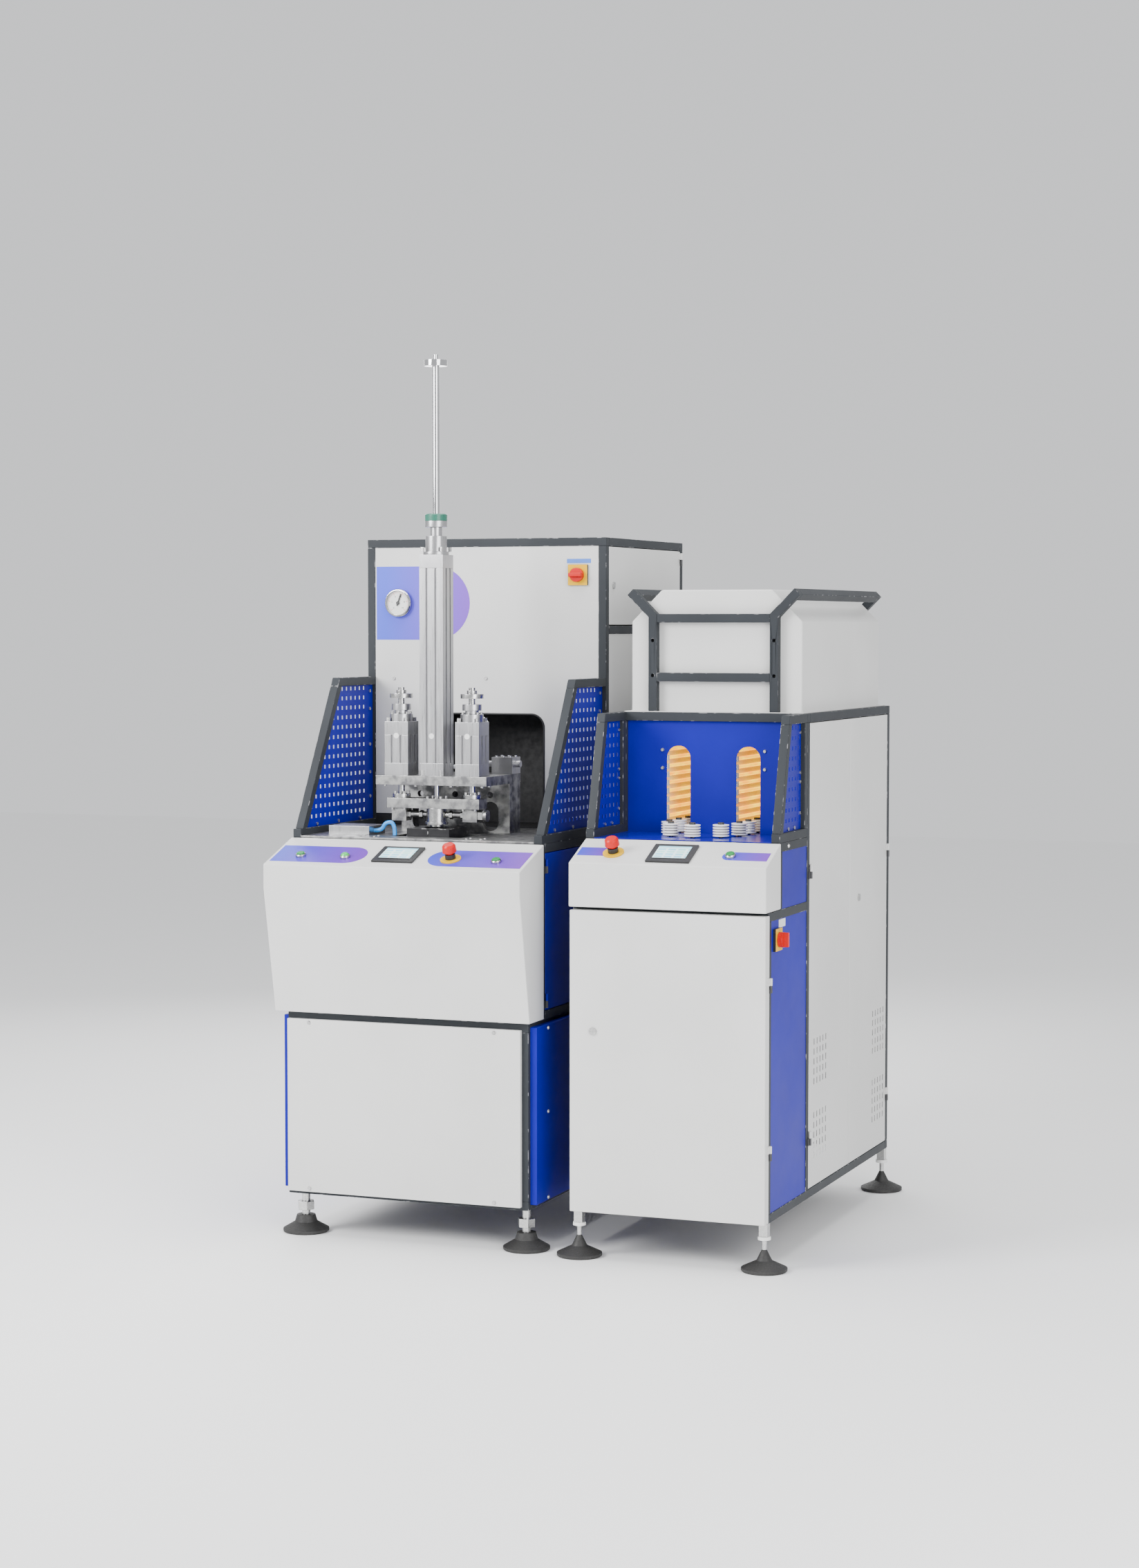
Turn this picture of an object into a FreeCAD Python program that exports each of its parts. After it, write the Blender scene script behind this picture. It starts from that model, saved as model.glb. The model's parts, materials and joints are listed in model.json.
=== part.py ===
"""A two-cabinet blow moulding machine: the press that blows the bottles and the oven for the preforms.

The datum is the floor under the press's left front corner: X to the right, Y to the back, Z up.
Every sub-part is shifted by the same amount at the end, so that the whole stands centred on its
own box. All sizes are millimetres and live in the spreadsheet; sub-parts are bound to its cells.
"""
import FreeCAD, Part
import Sketcher
import math
import os
import re

SIZES = {
    # stock that both cabinets are made of
    "tube": 25, "wall": 2, "plate": 2, "gap": 2, "tray": 20,
    # where the whole machine's centre lies from the datum
    "middle_across": 729, "middle_deep": 610,
    # press: welded frame
    "press_left": -20, "press_right": 760, "press_back": 1290, "base_left": 0, "base_right": 750,
    "base_low": 121, "base_high": 650, "neck_front": 78, "deck_line": 1149, "wing_high": 1609,
    "wing_lean": 266, "wing_run": 28.9, "tower_front": 594, "tower_high": 2026, "door_rail": 1739,
    # press: folded panels
    "panel_left": 3, "panel_right": 730, "panel_low": 130, "panel_high": 632, "panel_deep": 12,
    "side_tray_front": 14, "side_tray_back": 1276, "side_tray_low": 136, "side_tray_high": 639,
    "hood_left": -26, "hood_right": 766, "hood_nose": -103, "nose_high": 1085, "nose_low": 1016,
    "hood_toe": -31, "hood_low": 654, "hood_lip": 24,
    # press: tower front and its recess
    "face_front": 596, "recess_left": 180, "recess_right": 560, "recess_high": 1498,
    "recess_deep": 210, "recess_radius": 40,
    # perforated guard sheets
    "hole": 11, "hole_run": 30, "hole_rise": 28.5, "hole_edge": 30, "hole_strip": 62,
    # doors, hinges and locks
    "knuckle_radius": 4, "knuckle_out": 4.5, "knuckle_long": 20, "pin_radius": 2,
    "pin_play": 0.05, "knuckle_tab": 16, "lock_radius": 11, "lock_out": 4, "lock_shank": 9,
    "lock_play": 0.3, "cam_wide": 14, "cam_thick": 3,
    "mid_hinge_high": 1086, "mid_hinge_low": 704, "top_hinge_high": 1973, "top_hinge_low": 1793,
    "front_hinge_high": 788, "front_hinge_low": 328, "side_hinge_high": 1068,
    "side_hinge_low": 305,
    "door_low": 677, "tower_door_low": 1767,
    "tower_lock_deep": 655, "tower_lock_high": 1884,
    # blow head: plates
    "head_across": 370, "head_deep": 230, "pitch_across": 112,
    "top_left": 195, "top_right": 545, "top_front": 186, "top_back": 446, "top_low": 1302,
    "top_high": 1329, "arch_front": 364, "arch_thick": 20, "arch_left": 196, "arch_right": 544,
    "leg": 36, "arch_slot": 50, "arch_slot_high": 1247, "arch_hole_radius": 9,
    "arch_hole_high": 1267, "deck_thick": 6, "well_left": 262, "well_right": 478,
    "well_front": 158, "well_back": 302,
    # blow head: air cylinders
    "bore_radius": 31.5, "block": 75, "groove": 6, "groove_deep": 5, "groove_at": 14,
    "side_low_cap": 1365, "side_barrel": 1447, "side_high_cap": 1486, "side_flange": 1508,
    "side_sleeve": 1519, "side_ring": 1537, "side_sleeve_radius": 20, "side_ring_radius": 28,
    "side_rod_radius": 9.5, "side_disc_low": 1554, "side_disc_high": 1567,
    "side_disc_radius": 33.5, "side_nut_high": 1577, "side_rod_high": 1585, "side_nut_radius": 15,
    "long_low_cap": 1366, "long_barrel": 1930, "long_high_cap": 1969, "long_plate": 1978,
    "long_body": 2023, "long_neck": 2049, "long_flange": 2067, "bumper_high": 2087,
    "long_body_radius": 31, "long_neck_radius": 17.5, "long_flange_radius": 32.5,
    "rod_radius": 10.5, "rod_high": 2530, "collar_low": 2512, "collar_radius": 33.5,
    "rod_end_high": 2545, "rod_end_radius": 7, "spear_radius": 7, "spear_low": 1190,
    "piston_thick": 20, "slide_play": 0.06, "side_piston_low": 1410, "long_piston_low": 1890,
    # blow head: nozzle carriage
    "bar_left": 224, "bar_right": 516, "bar_front": 200, "bar_back": 260, "bar_low": 1234,
    "bar_high": 1263, "coupling_radius": 26, "coupling_high": 1275, "nozzle_radius": 30,
    "nozzle_lip_radius": 34, "nozzle_low": 1187, "nozzle_lip_high": 1194, "nozzle_bore": 8.2,
    "tip_low": 1180, "tip_radius": 20,
    "lug_low": 1196, "lug_wide": 46, "lug_deep": 40, "plug_radius": 17, "plug_out": 26,
    # mould under the deck
    "mould_left": 303, "mould_right": 437, "mould_front": 165, "mould_back": 295,
    "mould_low": 700, "mould_high": 1178, "mould_split": 0.2, "seat_radius": 38, "seat_low": 1168,
    "bottle_radius": 35, "bottle_low": 750, "bottle_high": 1080, "bottle_neck_radius": 14,
    "bottle_neck_low": 1120, "bed_thick": 12,
    # press: valve block and hoses
    "valve_left": 478, "valve_front": 384, "valve_high": 1378, "hose_radius": 6,
    "port_low": 1347, "port_high": 1466, "middle_hose": 1430,
    "junction_left": 60, "junction_front": 150, "junction_wide": 130, "junction_deep": 110,
    "junction_tall": 26, "hose_inset": 40,
    # press: controls on the tower
    "gauge_across": 85, "gauge_high": 1833, "gauge_radius": 43.5, "gauge_out": 16,
    "dial_radius": 37, "needle_rest": 70, "needle_long": 29, "needle_tail": 9, "needle_wide": 4,
    "switch_across": 671, "switch_high": 1915, "switch_side": 62, "switch_out": 8,
    "knob_radius": 21, "knob_out": 14, "grip_long": 40, "grip_wide": 11, "grip_out": 14,
    # controls on the two sloping consoles, measured up the slope from its front edge
    "bezel_radius": 15, "bezel_high": 9, "button_radius": 11.5, "button_play": 0.3,
    "button_low": 5, "button_high": 12, "stop_disc_radius": 30, "stop_disc_high": 4,
    "stop_collar_radius": 15, "stop_collar_high": 18, "stop_stem_radius": 10, "stop_stem_low": 7,
    "stop_head_low": 25, "stop_head_high": 47, "stop_head_radius": 20.5, "stop_top_radius": 19,
    "start_left_across": 66, "ready_across": 206, "press_stop_across": 530,
    "start_right_across": 672, "press_button_up": 62, "press_stop_up": 70, "lamp_radius": 11.8,
    "lamp_high": 15, "screen_wide": 127, "screen_tall": 101, "screen_thick": 6,
    "screen_margin": 15, "press_screen_across": 362, "press_screen_up": 86,
    "oven_stop_across": 990, "oven_start_across": 1331, "oven_button_up": 62,
    "oven_screen_across": 1162, "oven_screen_up": 64,
    # levelling feet
    "foot_inset_across": 28, "foot_inset_deep": 54, "stud_radius": 12, "foot_nut_low": 65,
    "foot_nut_high": 90, "foot_nut_radius": 26, "pad_radius": 67, "pad_rim": 10,
    "pad_shoulder": 30, "pad_hub": 50, "pad_hub_radius": 27, "oven_foot_inset": 14,
    "socket_low": 96, "socket_side": 25, "washer_low": 87, "washer_radius": 18,
    "oven_stem_radius": 7, "oven_cone_high": 60, "oven_hub": 38, "oven_pad_radius": 64,
    # oven: welded frame
    "oven_left": 877, "oven_right": 1447, "oven_front": 18, "oven_back": 1273, "oven_low": 132,
    "oven_sill": 960, "oven_post_front": 117, "oven_deck_line": 1168, "oven_rear_front": 380,
    "oven_high": 1516, "oven_wing_lean": 92, "oven_wing_run": 25.9,
    # oven: console, front door, side doors
    "desk_left": 878, "desk_right": 1451, "desk_nose": -20, "desk_back": 115,
    "desk_nose_high": 1110, "desk_low": 987, "desk_high": 1168, "front_door_low": 135,
    "front_door_high": 978, "front_door_left": 881, "front_door_right": 1450,
    "front_door_back": 14, "front_lock_across": 950, "front_lock_high": 643,
    "seam": 828, "seam_gap": 4, "side_lock_deep": 924, "side_lock_high": 949,
    "vent_front": 455, "vent_rear": 1089, "vent_high": 452, "vent_low": 240, "vent_wide": 10,
    "vent_tall": 18, "oven_switch_deep": 94, "oven_switch_high": 906,
    # oven: heating tunnel
    "wall_front": 395, "lane_left": 1057, "lane_right": 1267, "slot_radius": 36,
    "slot_high": 1420, "chain_front": 315, "mandrel_pitch": 82.47, "groove_half": 8,
    "mandrel_radius": 23, "mandrel_low": 1174, "mandrel_high": 1207, "stem_radius": 6,
    "chuck_radius": 9, "chuck_high": 1213, "chain_half": 4, "chain_low": 1132,
    "chain_high": 1144, "axle_radius": 12, "shaft_low": 1060, "beam_inset": 25,
    "lamp_tube_radius": 5, "lamp_low": 1192, "lamp_rise": 24, "lamp_front": 414,
    "lamp_back": 1090, "lamp_aside": 42, "holder": 16, "mirror_aside": 38, "mirror_high": 1440,
    # oven: exhaust hood and the rack round it
    "cowl_left": 904, "cowl_right": 1418, "cowl_front": 421, "cowl_back": 1247,
    "cowl_high": 1867, "cowl_bevel": 91, "flange_out": 14, "rack_front": 395,
    "rack_left": 964, "rack_right": 1354, "rack_high": 1798, "rack_notch": 10.4,
    "rack_rail": 1604, "rack_reach": 65, "slant": 17.7, "rack_hole_radius": 5,
    "rack_hole_high": 1722,
    # screws
    "screw_radius": 6, "screw_top": 4, "screw_high": 3.5,
}

doc = FreeCAD.newDocument("blow_moulding_machine")
cells = doc.addObject("Spreadsheet::Sheet", "sizes")
for row, (alias, size) in enumerate(SIZES.items(), start=1):
    cells.set(f"A{row}", alias)
    cells.set(f"B{row}", str(size))
    cells.setAlias(f"B{row}", alias)
doc.recompute()

X, Y, Z = FreeCAD.Vector(1, 0, 0), FreeCAD.Vector(0, 1, 0), FreeCAD.Vector(0, 0, 1)
TURN = {"z": FreeCAD.Rotation(), "x": FreeCAD.Rotation(Y, 90), "y": FreeCAD.Rotation(X, -90)}
parts = []


def bind(size):
    """An expression that reads each named size from the sheet."""
    return re.sub(r"[a-z_]+", lambda word: f"sizes.{word[0]}" if word[0] in SIZES else word[0],
                  str(size))


def number(size):
    """The value of an expression, in millimetres."""
    return float(cells.evalExpression(bind(size)))


# ---------------------------------------------------------------- building blocks

def place(piece, x, y, z, turn=None):
    """Bind a piece's position to the sheet, turned first if a rotation is given."""
    if turn is not None:
        piece.Placement = FreeCAD.Placement(FreeCAD.Vector(), turn)
    for axis, size in zip("xyz", (x, y, z)):
        piece.setExpression(f".Placement.Base.{axis}", bind(size))
    return piece


def sized(kind, **sizes):
    """A Part primitive with every size bound to the sheet."""
    piece = doc.addObject(f"Part::{kind}", kind)
    for name, size in sizes.items():
        piece.setExpression(name, bind(size))
    return piece


def block(x, y, z, width, depth, height):
    """A rectangular block from its low corner."""
    return place(sized("Box", Length=width, Width=depth, Height=height), x, y, z)


def span(x, y, z):
    """A rectangular block between pairs of limits along each axis."""
    sides = [f"({high}) - ({low})" for low, high in (x, y, z)]
    return block(x[0], y[0], z[0], *sides)


def rod(x, y, z, radius, length, axis="z", turn=None):
    """A round bar from the middle of its low end."""
    piece = sized("Cylinder", Radius=radius, Height=length)
    return place(piece, x, y, z, turn or TURN[axis])


def cut(base, *tools):
    """The base with every tool taken out of it."""
    piece = doc.addObject("Part::Cut", "Cut")
    piece.Base = base
    piece.Tool = tools[0] if len(tools) == 1 else fuse(*tools)
    return piece


def fuse(*pieces):
    """Pieces that are one: welded or machined from one lump."""
    piece = doc.addObject("Part::MultiFuse", "Fuse")
    piece.Shapes = list(pieces)
    return piece


def node(label, *solids):
    """One sub-part: a group of separate solids, shifted to the machine's own centre."""
    piece = doc.addObject("Part::Compound", label)
    piece.Label = label
    piece.Links = list(solids)
    parts.append(place(piece, "-middle_across", "-middle_deep", "0"))
    return piece


def outline(body, plane, corners, offset):
    """A closed sketch on one of a body's own planes, with each corner bound to the sheet."""
    sketch = body.newObject("Sketcher::SketchObject", "Outline")
    face = next(item for item in body.Origin.OriginFeatures if item.Role == plane)
    sketch.AttachmentSupport = [(face, "")]
    sketch.MapMode = "FlatFace"
    sketch.setExpression(".AttachmentOffset.Base.z", bind(offset))
    points = [FreeCAD.Vector(number(a), number(b), 0) for a, b in corners]
    for index, point in enumerate(points):
        sketch.addGeometry(Part.LineSegment(point, points[(index + 1) % len(points)]))
    for index, (a, b) in enumerate(corners):
        after = (index + 1) % len(points)
        sketch.addConstraint(Sketcher.Constraint("Coincident", index, 2, after, 1))
        for kind, size in (("DistanceX", a), ("DistanceY", b)):
            rule = Sketcher.Constraint(kind, -1, 1, index, 1, number(size))
            sketch.setExpression(f"Constraints[{sketch.addConstraint(rule)}]", bind(size))
    return sketch


def padded(plane, corners, start, length):
    """A prism: an outline on a plane, pushed from start along the plane's world axis."""
    body = doc.addObject("PartDesign::Body", "Prism")
    flipped = plane == "XZ_Plane"
    offset = f"-({start})" if flipped else start
    pad = body.newObject("PartDesign::Pad", "Pad")
    pad.Profile = outline(body, plane, corners, offset)
    pad.setExpression("Length", bind(length))
    pad.Reversed = flipped
    body.Tip = pad
    return body


def turned(corners, x=0, y=0, z=0, turn=None):
    """A turned piece: (radius, height) corners spun round its own axis."""
    body = doc.addObject("PartDesign::Body", "Turned")
    spin = body.newObject("PartDesign::Revolution", "Spin")
    sketch = outline(body, "XZ_Plane", corners, "0")
    spin.Profile = sketch
    spin.ReferenceAxis = (sketch, ["V_Axis"])
    spin.Angle = 360
    body.Tip = spin
    return place(body, x, y, z, turn or FreeCAD.Rotation())


# ---------------------------------------------------------------- frames

def tubes(*spans):
    """Square tubes with a hollow core and closed ends, each from its three pairs of limits."""
    made = []
    for limits in spans:
        core = [(f"{low} + wall", f"{high} - wall") for low, high in limits]
        made.append(cut(span(*limits), span(*core)))
    return made


def leaning(across, low, high, run):
    """A square tube that leans back as it rises, cut level at both ends.

    low and high are the (depth, height) of its front edge, and run is its level thickness."""
    def prism(inset, side):
        corners = [(f"{low[0]} + {inset}", f"{low[1]} + {side}"),
                   (f"{low[0]} + {run} - {inset}", f"{low[1]} + {side}"),
                   (f"{high[0]} + {run} - {inset}", f"{high[1]} - {side}"),
                   (f"{high[0]} + {inset}", f"{high[1]} - {side}")]
        return padded("YZ_Plane", corners, f"{across} + {side}", f"tube - 2 * {side}")
    return cut(prism("0", "0"), prism("2 * wall", "wall"))


def ring(left, right, front, back, low):
    """Four tubes round a rectangle, the cross tubes running the whole width."""
    level = (low, f"{low} + tube")
    return tubes(((left, right), (front, f"{front} + tube"), level),
                 ((left, right), (f"{back} - tube", back), level),
                 ((left, f"{left} + tube"), (f"{front} + tube", f"{back} - tube"), level),
                 ((f"{right} - tube", right), (f"{front} + tube", f"{back} - tube"), level))


def posts(sides, fronts, low, high):
    """Upright tubes at every side and depth given by their low corners."""
    return tubes(*(((side, f"{side} + tube"), (front, f"{front} + tube"), (low, high))
                   for side in sides for front in fronts))


def rails(sides, front, back, low):
    """Tubes that run front to back on both sides."""
    return tubes(*(((side, f"{side} + tube"), (front, back), (low, f"{low} + tube"))
                   for side in sides))


def press_frames():
    """The press's base frame, and the upper frame of deck, guards and tower that stands on it."""
    sides = ("base_left", "base_right - tube")
    node("press_base_frame",
         *ring("base_left", "base_right", "0", "press_back", "base_low"),
         *ring("base_left", "base_right", "0", "press_back", "base_high - tube"),
         *posts(sides, ("0", "tower_front", "press_back - tube"),
                "base_low + tube", "base_high - tube"))
    sides = ("press_left", "press_right - tube")
    inner = ("press_left + tube", "press_right - tube")
    cross = [(inner, (front, f"{front} + tube"), ("deck_line - tube", "deck_line"))
             for front in ("neck_front", "tower_front")]
    foot = ("neck_front + 14.6", "deck_line + tube")
    head = ("neck_front + wing_lean - 14.6", "wing_high - tube")
    lean = [leaning(side, foot, head, "wing_run") for side in sides]
    cap = [("neck_front + wing_lean - 14.6", "wing_high - tube"), ("tower_front", "wing_high - tube"),
           ("tower_front", "wing_high"), ("neck_front + wing_lean", "wing_high")]
    caps = [padded("YZ_Plane", cap, side, "tube") for side in sides]
    node("press_upper_frame",
         *ring("press_left", "press_right", "neck_front", "press_back", "base_high"),
         *posts(sides, ("neck_front",), "base_high + tube", "deck_line"),
         *rails(sides, "neck_front + tube", "tower_front", "deck_line - tube"),
         *rails(sides, "neck_front", "tower_front", "deck_line"),
         *posts(sides, ("tower_front", "press_back - tube"), "base_high + tube",
                "tower_high - tube"),
         *ring("press_left", "press_right", "tower_front", "press_back", "tower_high - tube"),
         *rails(sides, "tower_front + tube", "press_back - tube", "door_rail"),
         *tubes(*cross), *lean, *caps)


def oven_frame():
    """The oven's one welded frame: low front bay, leaning guards and the tall heating bay."""
    sides = ("oven_left", "oven_right - tube")
    foot = ("oven_post_front + 6.6", "oven_deck_line + tube")
    head = ("oven_post_front + oven_wing_lean - 6.6", "oven_high - tube")
    lean = [leaning(side, foot, head, "oven_wing_run") for side in sides]
    cap = [("oven_post_front + oven_wing_lean - 6.6", "oven_high - tube"),
           ("oven_rear_front", "oven_high - tube"), ("oven_rear_front", "oven_high"),
           ("oven_post_front + oven_wing_lean", "oven_high")]
    caps = [padded("YZ_Plane", cap, side, "tube") for side in sides]
    inner = ("oven_left + tube", "oven_right - tube")
    sill = [(inner, ("oven_front", "oven_front + tube"), ("oven_sill", "oven_sill + tube")),
            (inner, ("oven_post_front", "oven_post_front + tube"),
             ("oven_deck_line - tube", "oven_deck_line"))]
    node("oven_frame",
         *ring("oven_left", "oven_right", "oven_front", "oven_back", "oven_low"),
         *ring("oven_left", "oven_right", "oven_rear_front", "oven_back", "oven_high - tube"),
         *posts(sides, ("oven_front",), "oven_low + tube", "oven_sill"),
         *posts(sides, ("oven_rear_front", "oven_back - tube"), "oven_low + tube",
                "oven_high - tube"),
         *rails(sides, "oven_front", "oven_rear_front", "oven_sill"),
         *posts(sides, ("oven_post_front",), "oven_sill + tube", "oven_deck_line - tube"),
         *rails(sides, "oven_post_front", "oven_rear_front", "oven_deck_line - tube"),
         *rails(sides, "oven_post_front", "oven_rear_front", "oven_deck_line"),
         *posts(sides, ("oven_rear_front - tube",), "oven_deck_line + tube", "oven_high - tube"),
         *tubes(*sill), *lean, *caps)


# ---------------------------------------------------------------- folded sheet

def folded(x, y, z, open_side):
    """A folded tray: a flat face with four lips, open towards one side such as '+y'."""
    limits = [x, y, z]
    core = [(f"{low} + plate", f"{high} - plate") for low, high in limits]
    axis = "xyz".index(open_side[1])
    low, high = core[axis]
    core[axis] = (low, f"{high} + tray") if open_side[0] == "+" else (f"{low} - tray", high)
    return cut(span(*limits), span(*core))


def hood(left, right, profile, inner, window):
    """A console hood: bent to a profile, with closed cheeks and lips round its open back."""
    shell = padded("YZ_Plane", profile, left, f"{right} - ({left})")
    core = padded("YZ_Plane", inner, f"{left} + plate", f"{right} - ({left}) - 2 * plate")
    low, high, back = window
    opening = span((f"{left} + hood_lip", f"{right} - hood_lip"), (f"{back} - hood_lip", f"{back} + 1"),
                   (f"{low} + hood_lip", f"{high} - hood_lip"))
    return cut(shell, core, opening)


def press_hood():
    """The press's console, with its chin raked back to the base."""
    back = "neck_front"
    profile = [(back, "deck_line"), ("hood_nose", "nose_high"), ("hood_nose", "nose_low"),
               ("hood_toe", "hood_low"), (back, "hood_low")]
    inner = [(f"{back} - plate", "deck_line - plate"), ("hood_nose + plate", "nose_high - plate"),
             ("hood_nose + plate", "nose_low"), ("hood_toe + plate", "hood_low + plate"),
             (f"{back} - plate", "hood_low + plate")]
    node("press_console_hood",
         hood("hood_left", "hood_right", profile, inner, ("hood_low", "deck_line", back)))


def oven_hood():
    """The oven's console, square under its sloping desk."""
    back = "desk_back"
    profile = [(back, "desk_high"), ("desk_nose", "desk_nose_high"), ("desk_nose", "desk_low"),
               (back, "desk_low")]
    inner = [(f"{back} - plate", "desk_high - plate"),
             ("desk_nose + plate", "desk_nose_high - plate"),
             ("desk_nose + plate", "desk_low + plate"), (f"{back} - plate", "desk_low + plate")]
    node("oven_console_hood",
         hood("desk_left", "desk_right", profile, inner, ("desk_low", "desk_high", back)))


def press_panels():
    """The press's folded and flat covers, with the box behind the tower's recess."""
    front = folded(("panel_left", "panel_right"), ("-panel_deep", "0"), ("panel_low", "panel_high"),
                   "+y")
    deep = ("side_tray_front", "side_tray_back")
    tall = ("side_tray_low", "side_tray_high")
    node("press_side_panels", folded(("base_left - tray", "base_left"), deep, tall, "+x"),
         folded(("base_right", "base_right + tray"), deep, tall, "-x"))
    bay = ("tower_front + tube + gap", "press_back - tube - gap")
    left = ("press_left + gap", "press_left + gap + plate")
    right = ("press_right - gap - plate", "press_right - gap")
    back = ("press_back - gap - plate", "press_back - gap")
    inside = ("press_left + tube", "press_right - tube")
    low_back = span(("base_left + tube", "base_right - tube"), back,
                    ("base_low + tube", "base_high - tube"))
    node("press_cover_sheets", front,
         span(left, ("neck_front + tube", "tower_front"), ("base_high + tube", "deck_line - tube")),
         span(left, bay, ("base_high + tube", "door_rail")),
         span(left, bay, ("door_rail + tube", "tower_high - tube")),
         span(right, bay, ("base_high + tube", "door_rail")), low_back,
         span(inside, back, ("base_high + tube", "tower_high - tube")),
         span(inside, ("tower_front + tube", "press_back - tube"),
              ("tower_high - gap - plate", "tower_high - gap")),
         tower_face())


def tower_face():
    """The tower's front sheet with its round-cornered recess; returns the box that lines it."""
    face = ("face_front", "face_front + plate")
    low = "deck_line + deck_thick"
    sheet = span(("press_left + tube", "press_right - tube"), face, (low, "tower_high - tube"))
    tall = f"recess_high - ({low})"
    mouth = fuse(block("recess_left", "face_front - 1", low, "recess_right - recess_left", "tray",
                       f"{tall} - recess_radius"),
                 block("recess_left + recess_radius", "face_front - 1", low,
                       "recess_right - recess_left - 2 * recess_radius", "tray", tall),
                 *(rod(x, "face_front - 1", "recess_high - recess_radius", "recess_radius", "tray", "y")
                   for x in ("recess_left + recess_radius", "recess_right - recess_radius")))
    node("tower_front_panel", cut(sheet, mouth))
    box = span(("recess_left - plate", "recess_right + plate"),
               ("face_front + plate", "face_front + recess_deep"), (low, "recess_high + plate"))
    core = span(("recess_left", "recess_right"), ("face_front", "face_front + recess_deep - plate"),
                (f"{low} + plate", "recess_high"))
    return cut(box, core)


def perforated(sheet, left, thick, holes, corners):
    """A flat sheet in the side plane, cut to an outline and pierced by rows of square holes."""
    points = [FreeCAD.Vector(left, y, z) for y, z in corners]
    face = Part.Face(Part.makePolygon(points + points[:1]))
    half = number("hole") / 2
    wires = []
    for y, z in holes:
        square = [FreeCAD.Vector(left, y + a * half, z + b * half)
                  for a, b in ((-1, -1), (1, -1), (1, 1), (-1, 1))]
        wires.append(Part.makePolygon(square + square[:1]))
    pierced = Part.Face([face.OuterWire] + wires)
    pierced.validate()
    piece = doc.addObject("Part::Feature", sheet)
    piece.Shape = pierced.extrude(FreeCAD.Vector(thick, 0, 0))
    return piece


def guard_sheet(name, left, corners, low, high, back, strip):
    """One guard: hole rows rise from the low edge, and columns run forward from the rear strip."""
    run, rise, edge = number("hole_run"), number("hole_rise"), number("hole_edge")
    (y_low, z_low), (y_high, z_high) = corners[0], corners[-1]
    holes = []
    for row in range(int((high - low - edge) // rise) + 1):
        z = low + edge + row * rise
        front = y_low + (y_high - y_low) * (z - z_low) / (z_high - z_low)
        columns = int((back - strip - front - number("hole")) // run) + 1
        holes += [(back - strip - column * run, z) for column in range(columns)]
    return perforated(name, left, number("plate"), holes, corners)


def guard_sheets():
    """The pierced sheets in the leaning guards of both cabinets."""
    low, high = number("deck_line + tube"), number("wing_high - tube")
    front, back = number("neck_front + 14.6 + wing_run"), number("tower_front")
    lean = number("neck_front + wing_lean - 14.6 + wing_run")
    corners = [(front, low), (back, low), (back, high), (lean, high)]
    strip = number("hole_strip")
    sheets = [guard_sheet("guard", number(left), corners, low, high, back, strip)
              for left in ("press_left + tube / 2", "press_right - tube / 2 - plate")]
    low, high = number("oven_deck_line + tube"), number("oven_high - tube")
    front, back = number("oven_post_front + 6.6 + oven_wing_run"), number("oven_rear_front - tube")
    lean = number("oven_post_front + oven_wing_lean - 6.6 + oven_wing_run")
    corners = [(front, low), (back, low), (back, high), (lean, high)]
    sheets += [guard_sheet("guard", number(left), corners, low, high, back, strip / 3)
               for left in ("oven_left + tube / 2", "oven_right - tube / 2 - plate")]
    node("guard_sheets", *sheets)


def vents(left, columns_front):
    """Two blocks of upright slots, five by five, as cutting tools."""
    tools = []
    for low in ("vent_high", "vent_low"):
        for row in range(5):
            for column in range(5):
                tools.append(block(left, f"{columns_front} + {column} * hole_run",
                                   f"{low} + {row} * hole_rise", "2 * tray", "vent_wide",
                                   "vent_tall"))
    return tools


def oven_panels():
    """The oven's fixed covers: blue sheets round the low front bay, pale ones round the rest."""
    sheets = []
    for outside in ("oven_left + gap", "oven_right - gap - plate"):
        x = (outside, f"{outside} + plate")
        sheets.append(span(x, ("oven_front + tube", "oven_rear_front"),
                           ("oven_low + tube", "oven_sill")))
        sheets.append(span(x, ("oven_post_front + tube", "oven_rear_front"),
                           ("oven_sill + tube", "oven_deck_line - tube")))
    node("oven_blue_panels", *sheets)
    bay = ("oven_rear_front + tube", "oven_back - tube")
    tall = ("oven_low + tube", "oven_high - tube")
    side = span(("oven_left + gap", "oven_left + gap + plate"), bay, tall)
    back = span(("oven_left + tube", "oven_right - tube"),
                ("oven_back - gap - plate", "oven_back - gap"), tall)
    node("oven_pale_panels", cut(side, *vents("oven_left - tray", "vent_front"),
                                 *vents("oven_left - tray", "vent_rear")), back)


# ---------------------------------------------------------------- doors, hinges, locks

def knuckles(x, y, z, toward, step="0"):
    """A lift-off hinge with its pin upright: the door's upper barrel, and the post's with the pin.

    toward says which way along Y the door's tab lies, and step is how far the post's face stands
    behind the door's. Both tabs lie flat against those faces."""
    def barrel(low, sign, thick):
        front = y if sign == "+" else f"{y} - knuckle_tab"
        tab = block(f"{x} - knuckle_out - ({thick})", front, low,
                    f"knuckle_out - 1 + ({thick})", "knuckle_tab", "knuckle_long")
        return [rod(x, y, low, "knuckle_radius", "knuckle_long"), tab]
    other = "-" if toward == "+" else "+"
    upper = cut(fuse(*barrel(f"{z} + 0.2", toward, "0")),
                rod(x, y, f"{z} - 1", "pin_radius + pin_play", "knuckle_long + 4"))
    lower = fuse(*barrel(f"{z} - knuckle_long", other, step),
                 rod(x, y, f"{z} - 1", "pin_radius", "knuckle_long - 2"))
    return upper, lower


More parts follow.
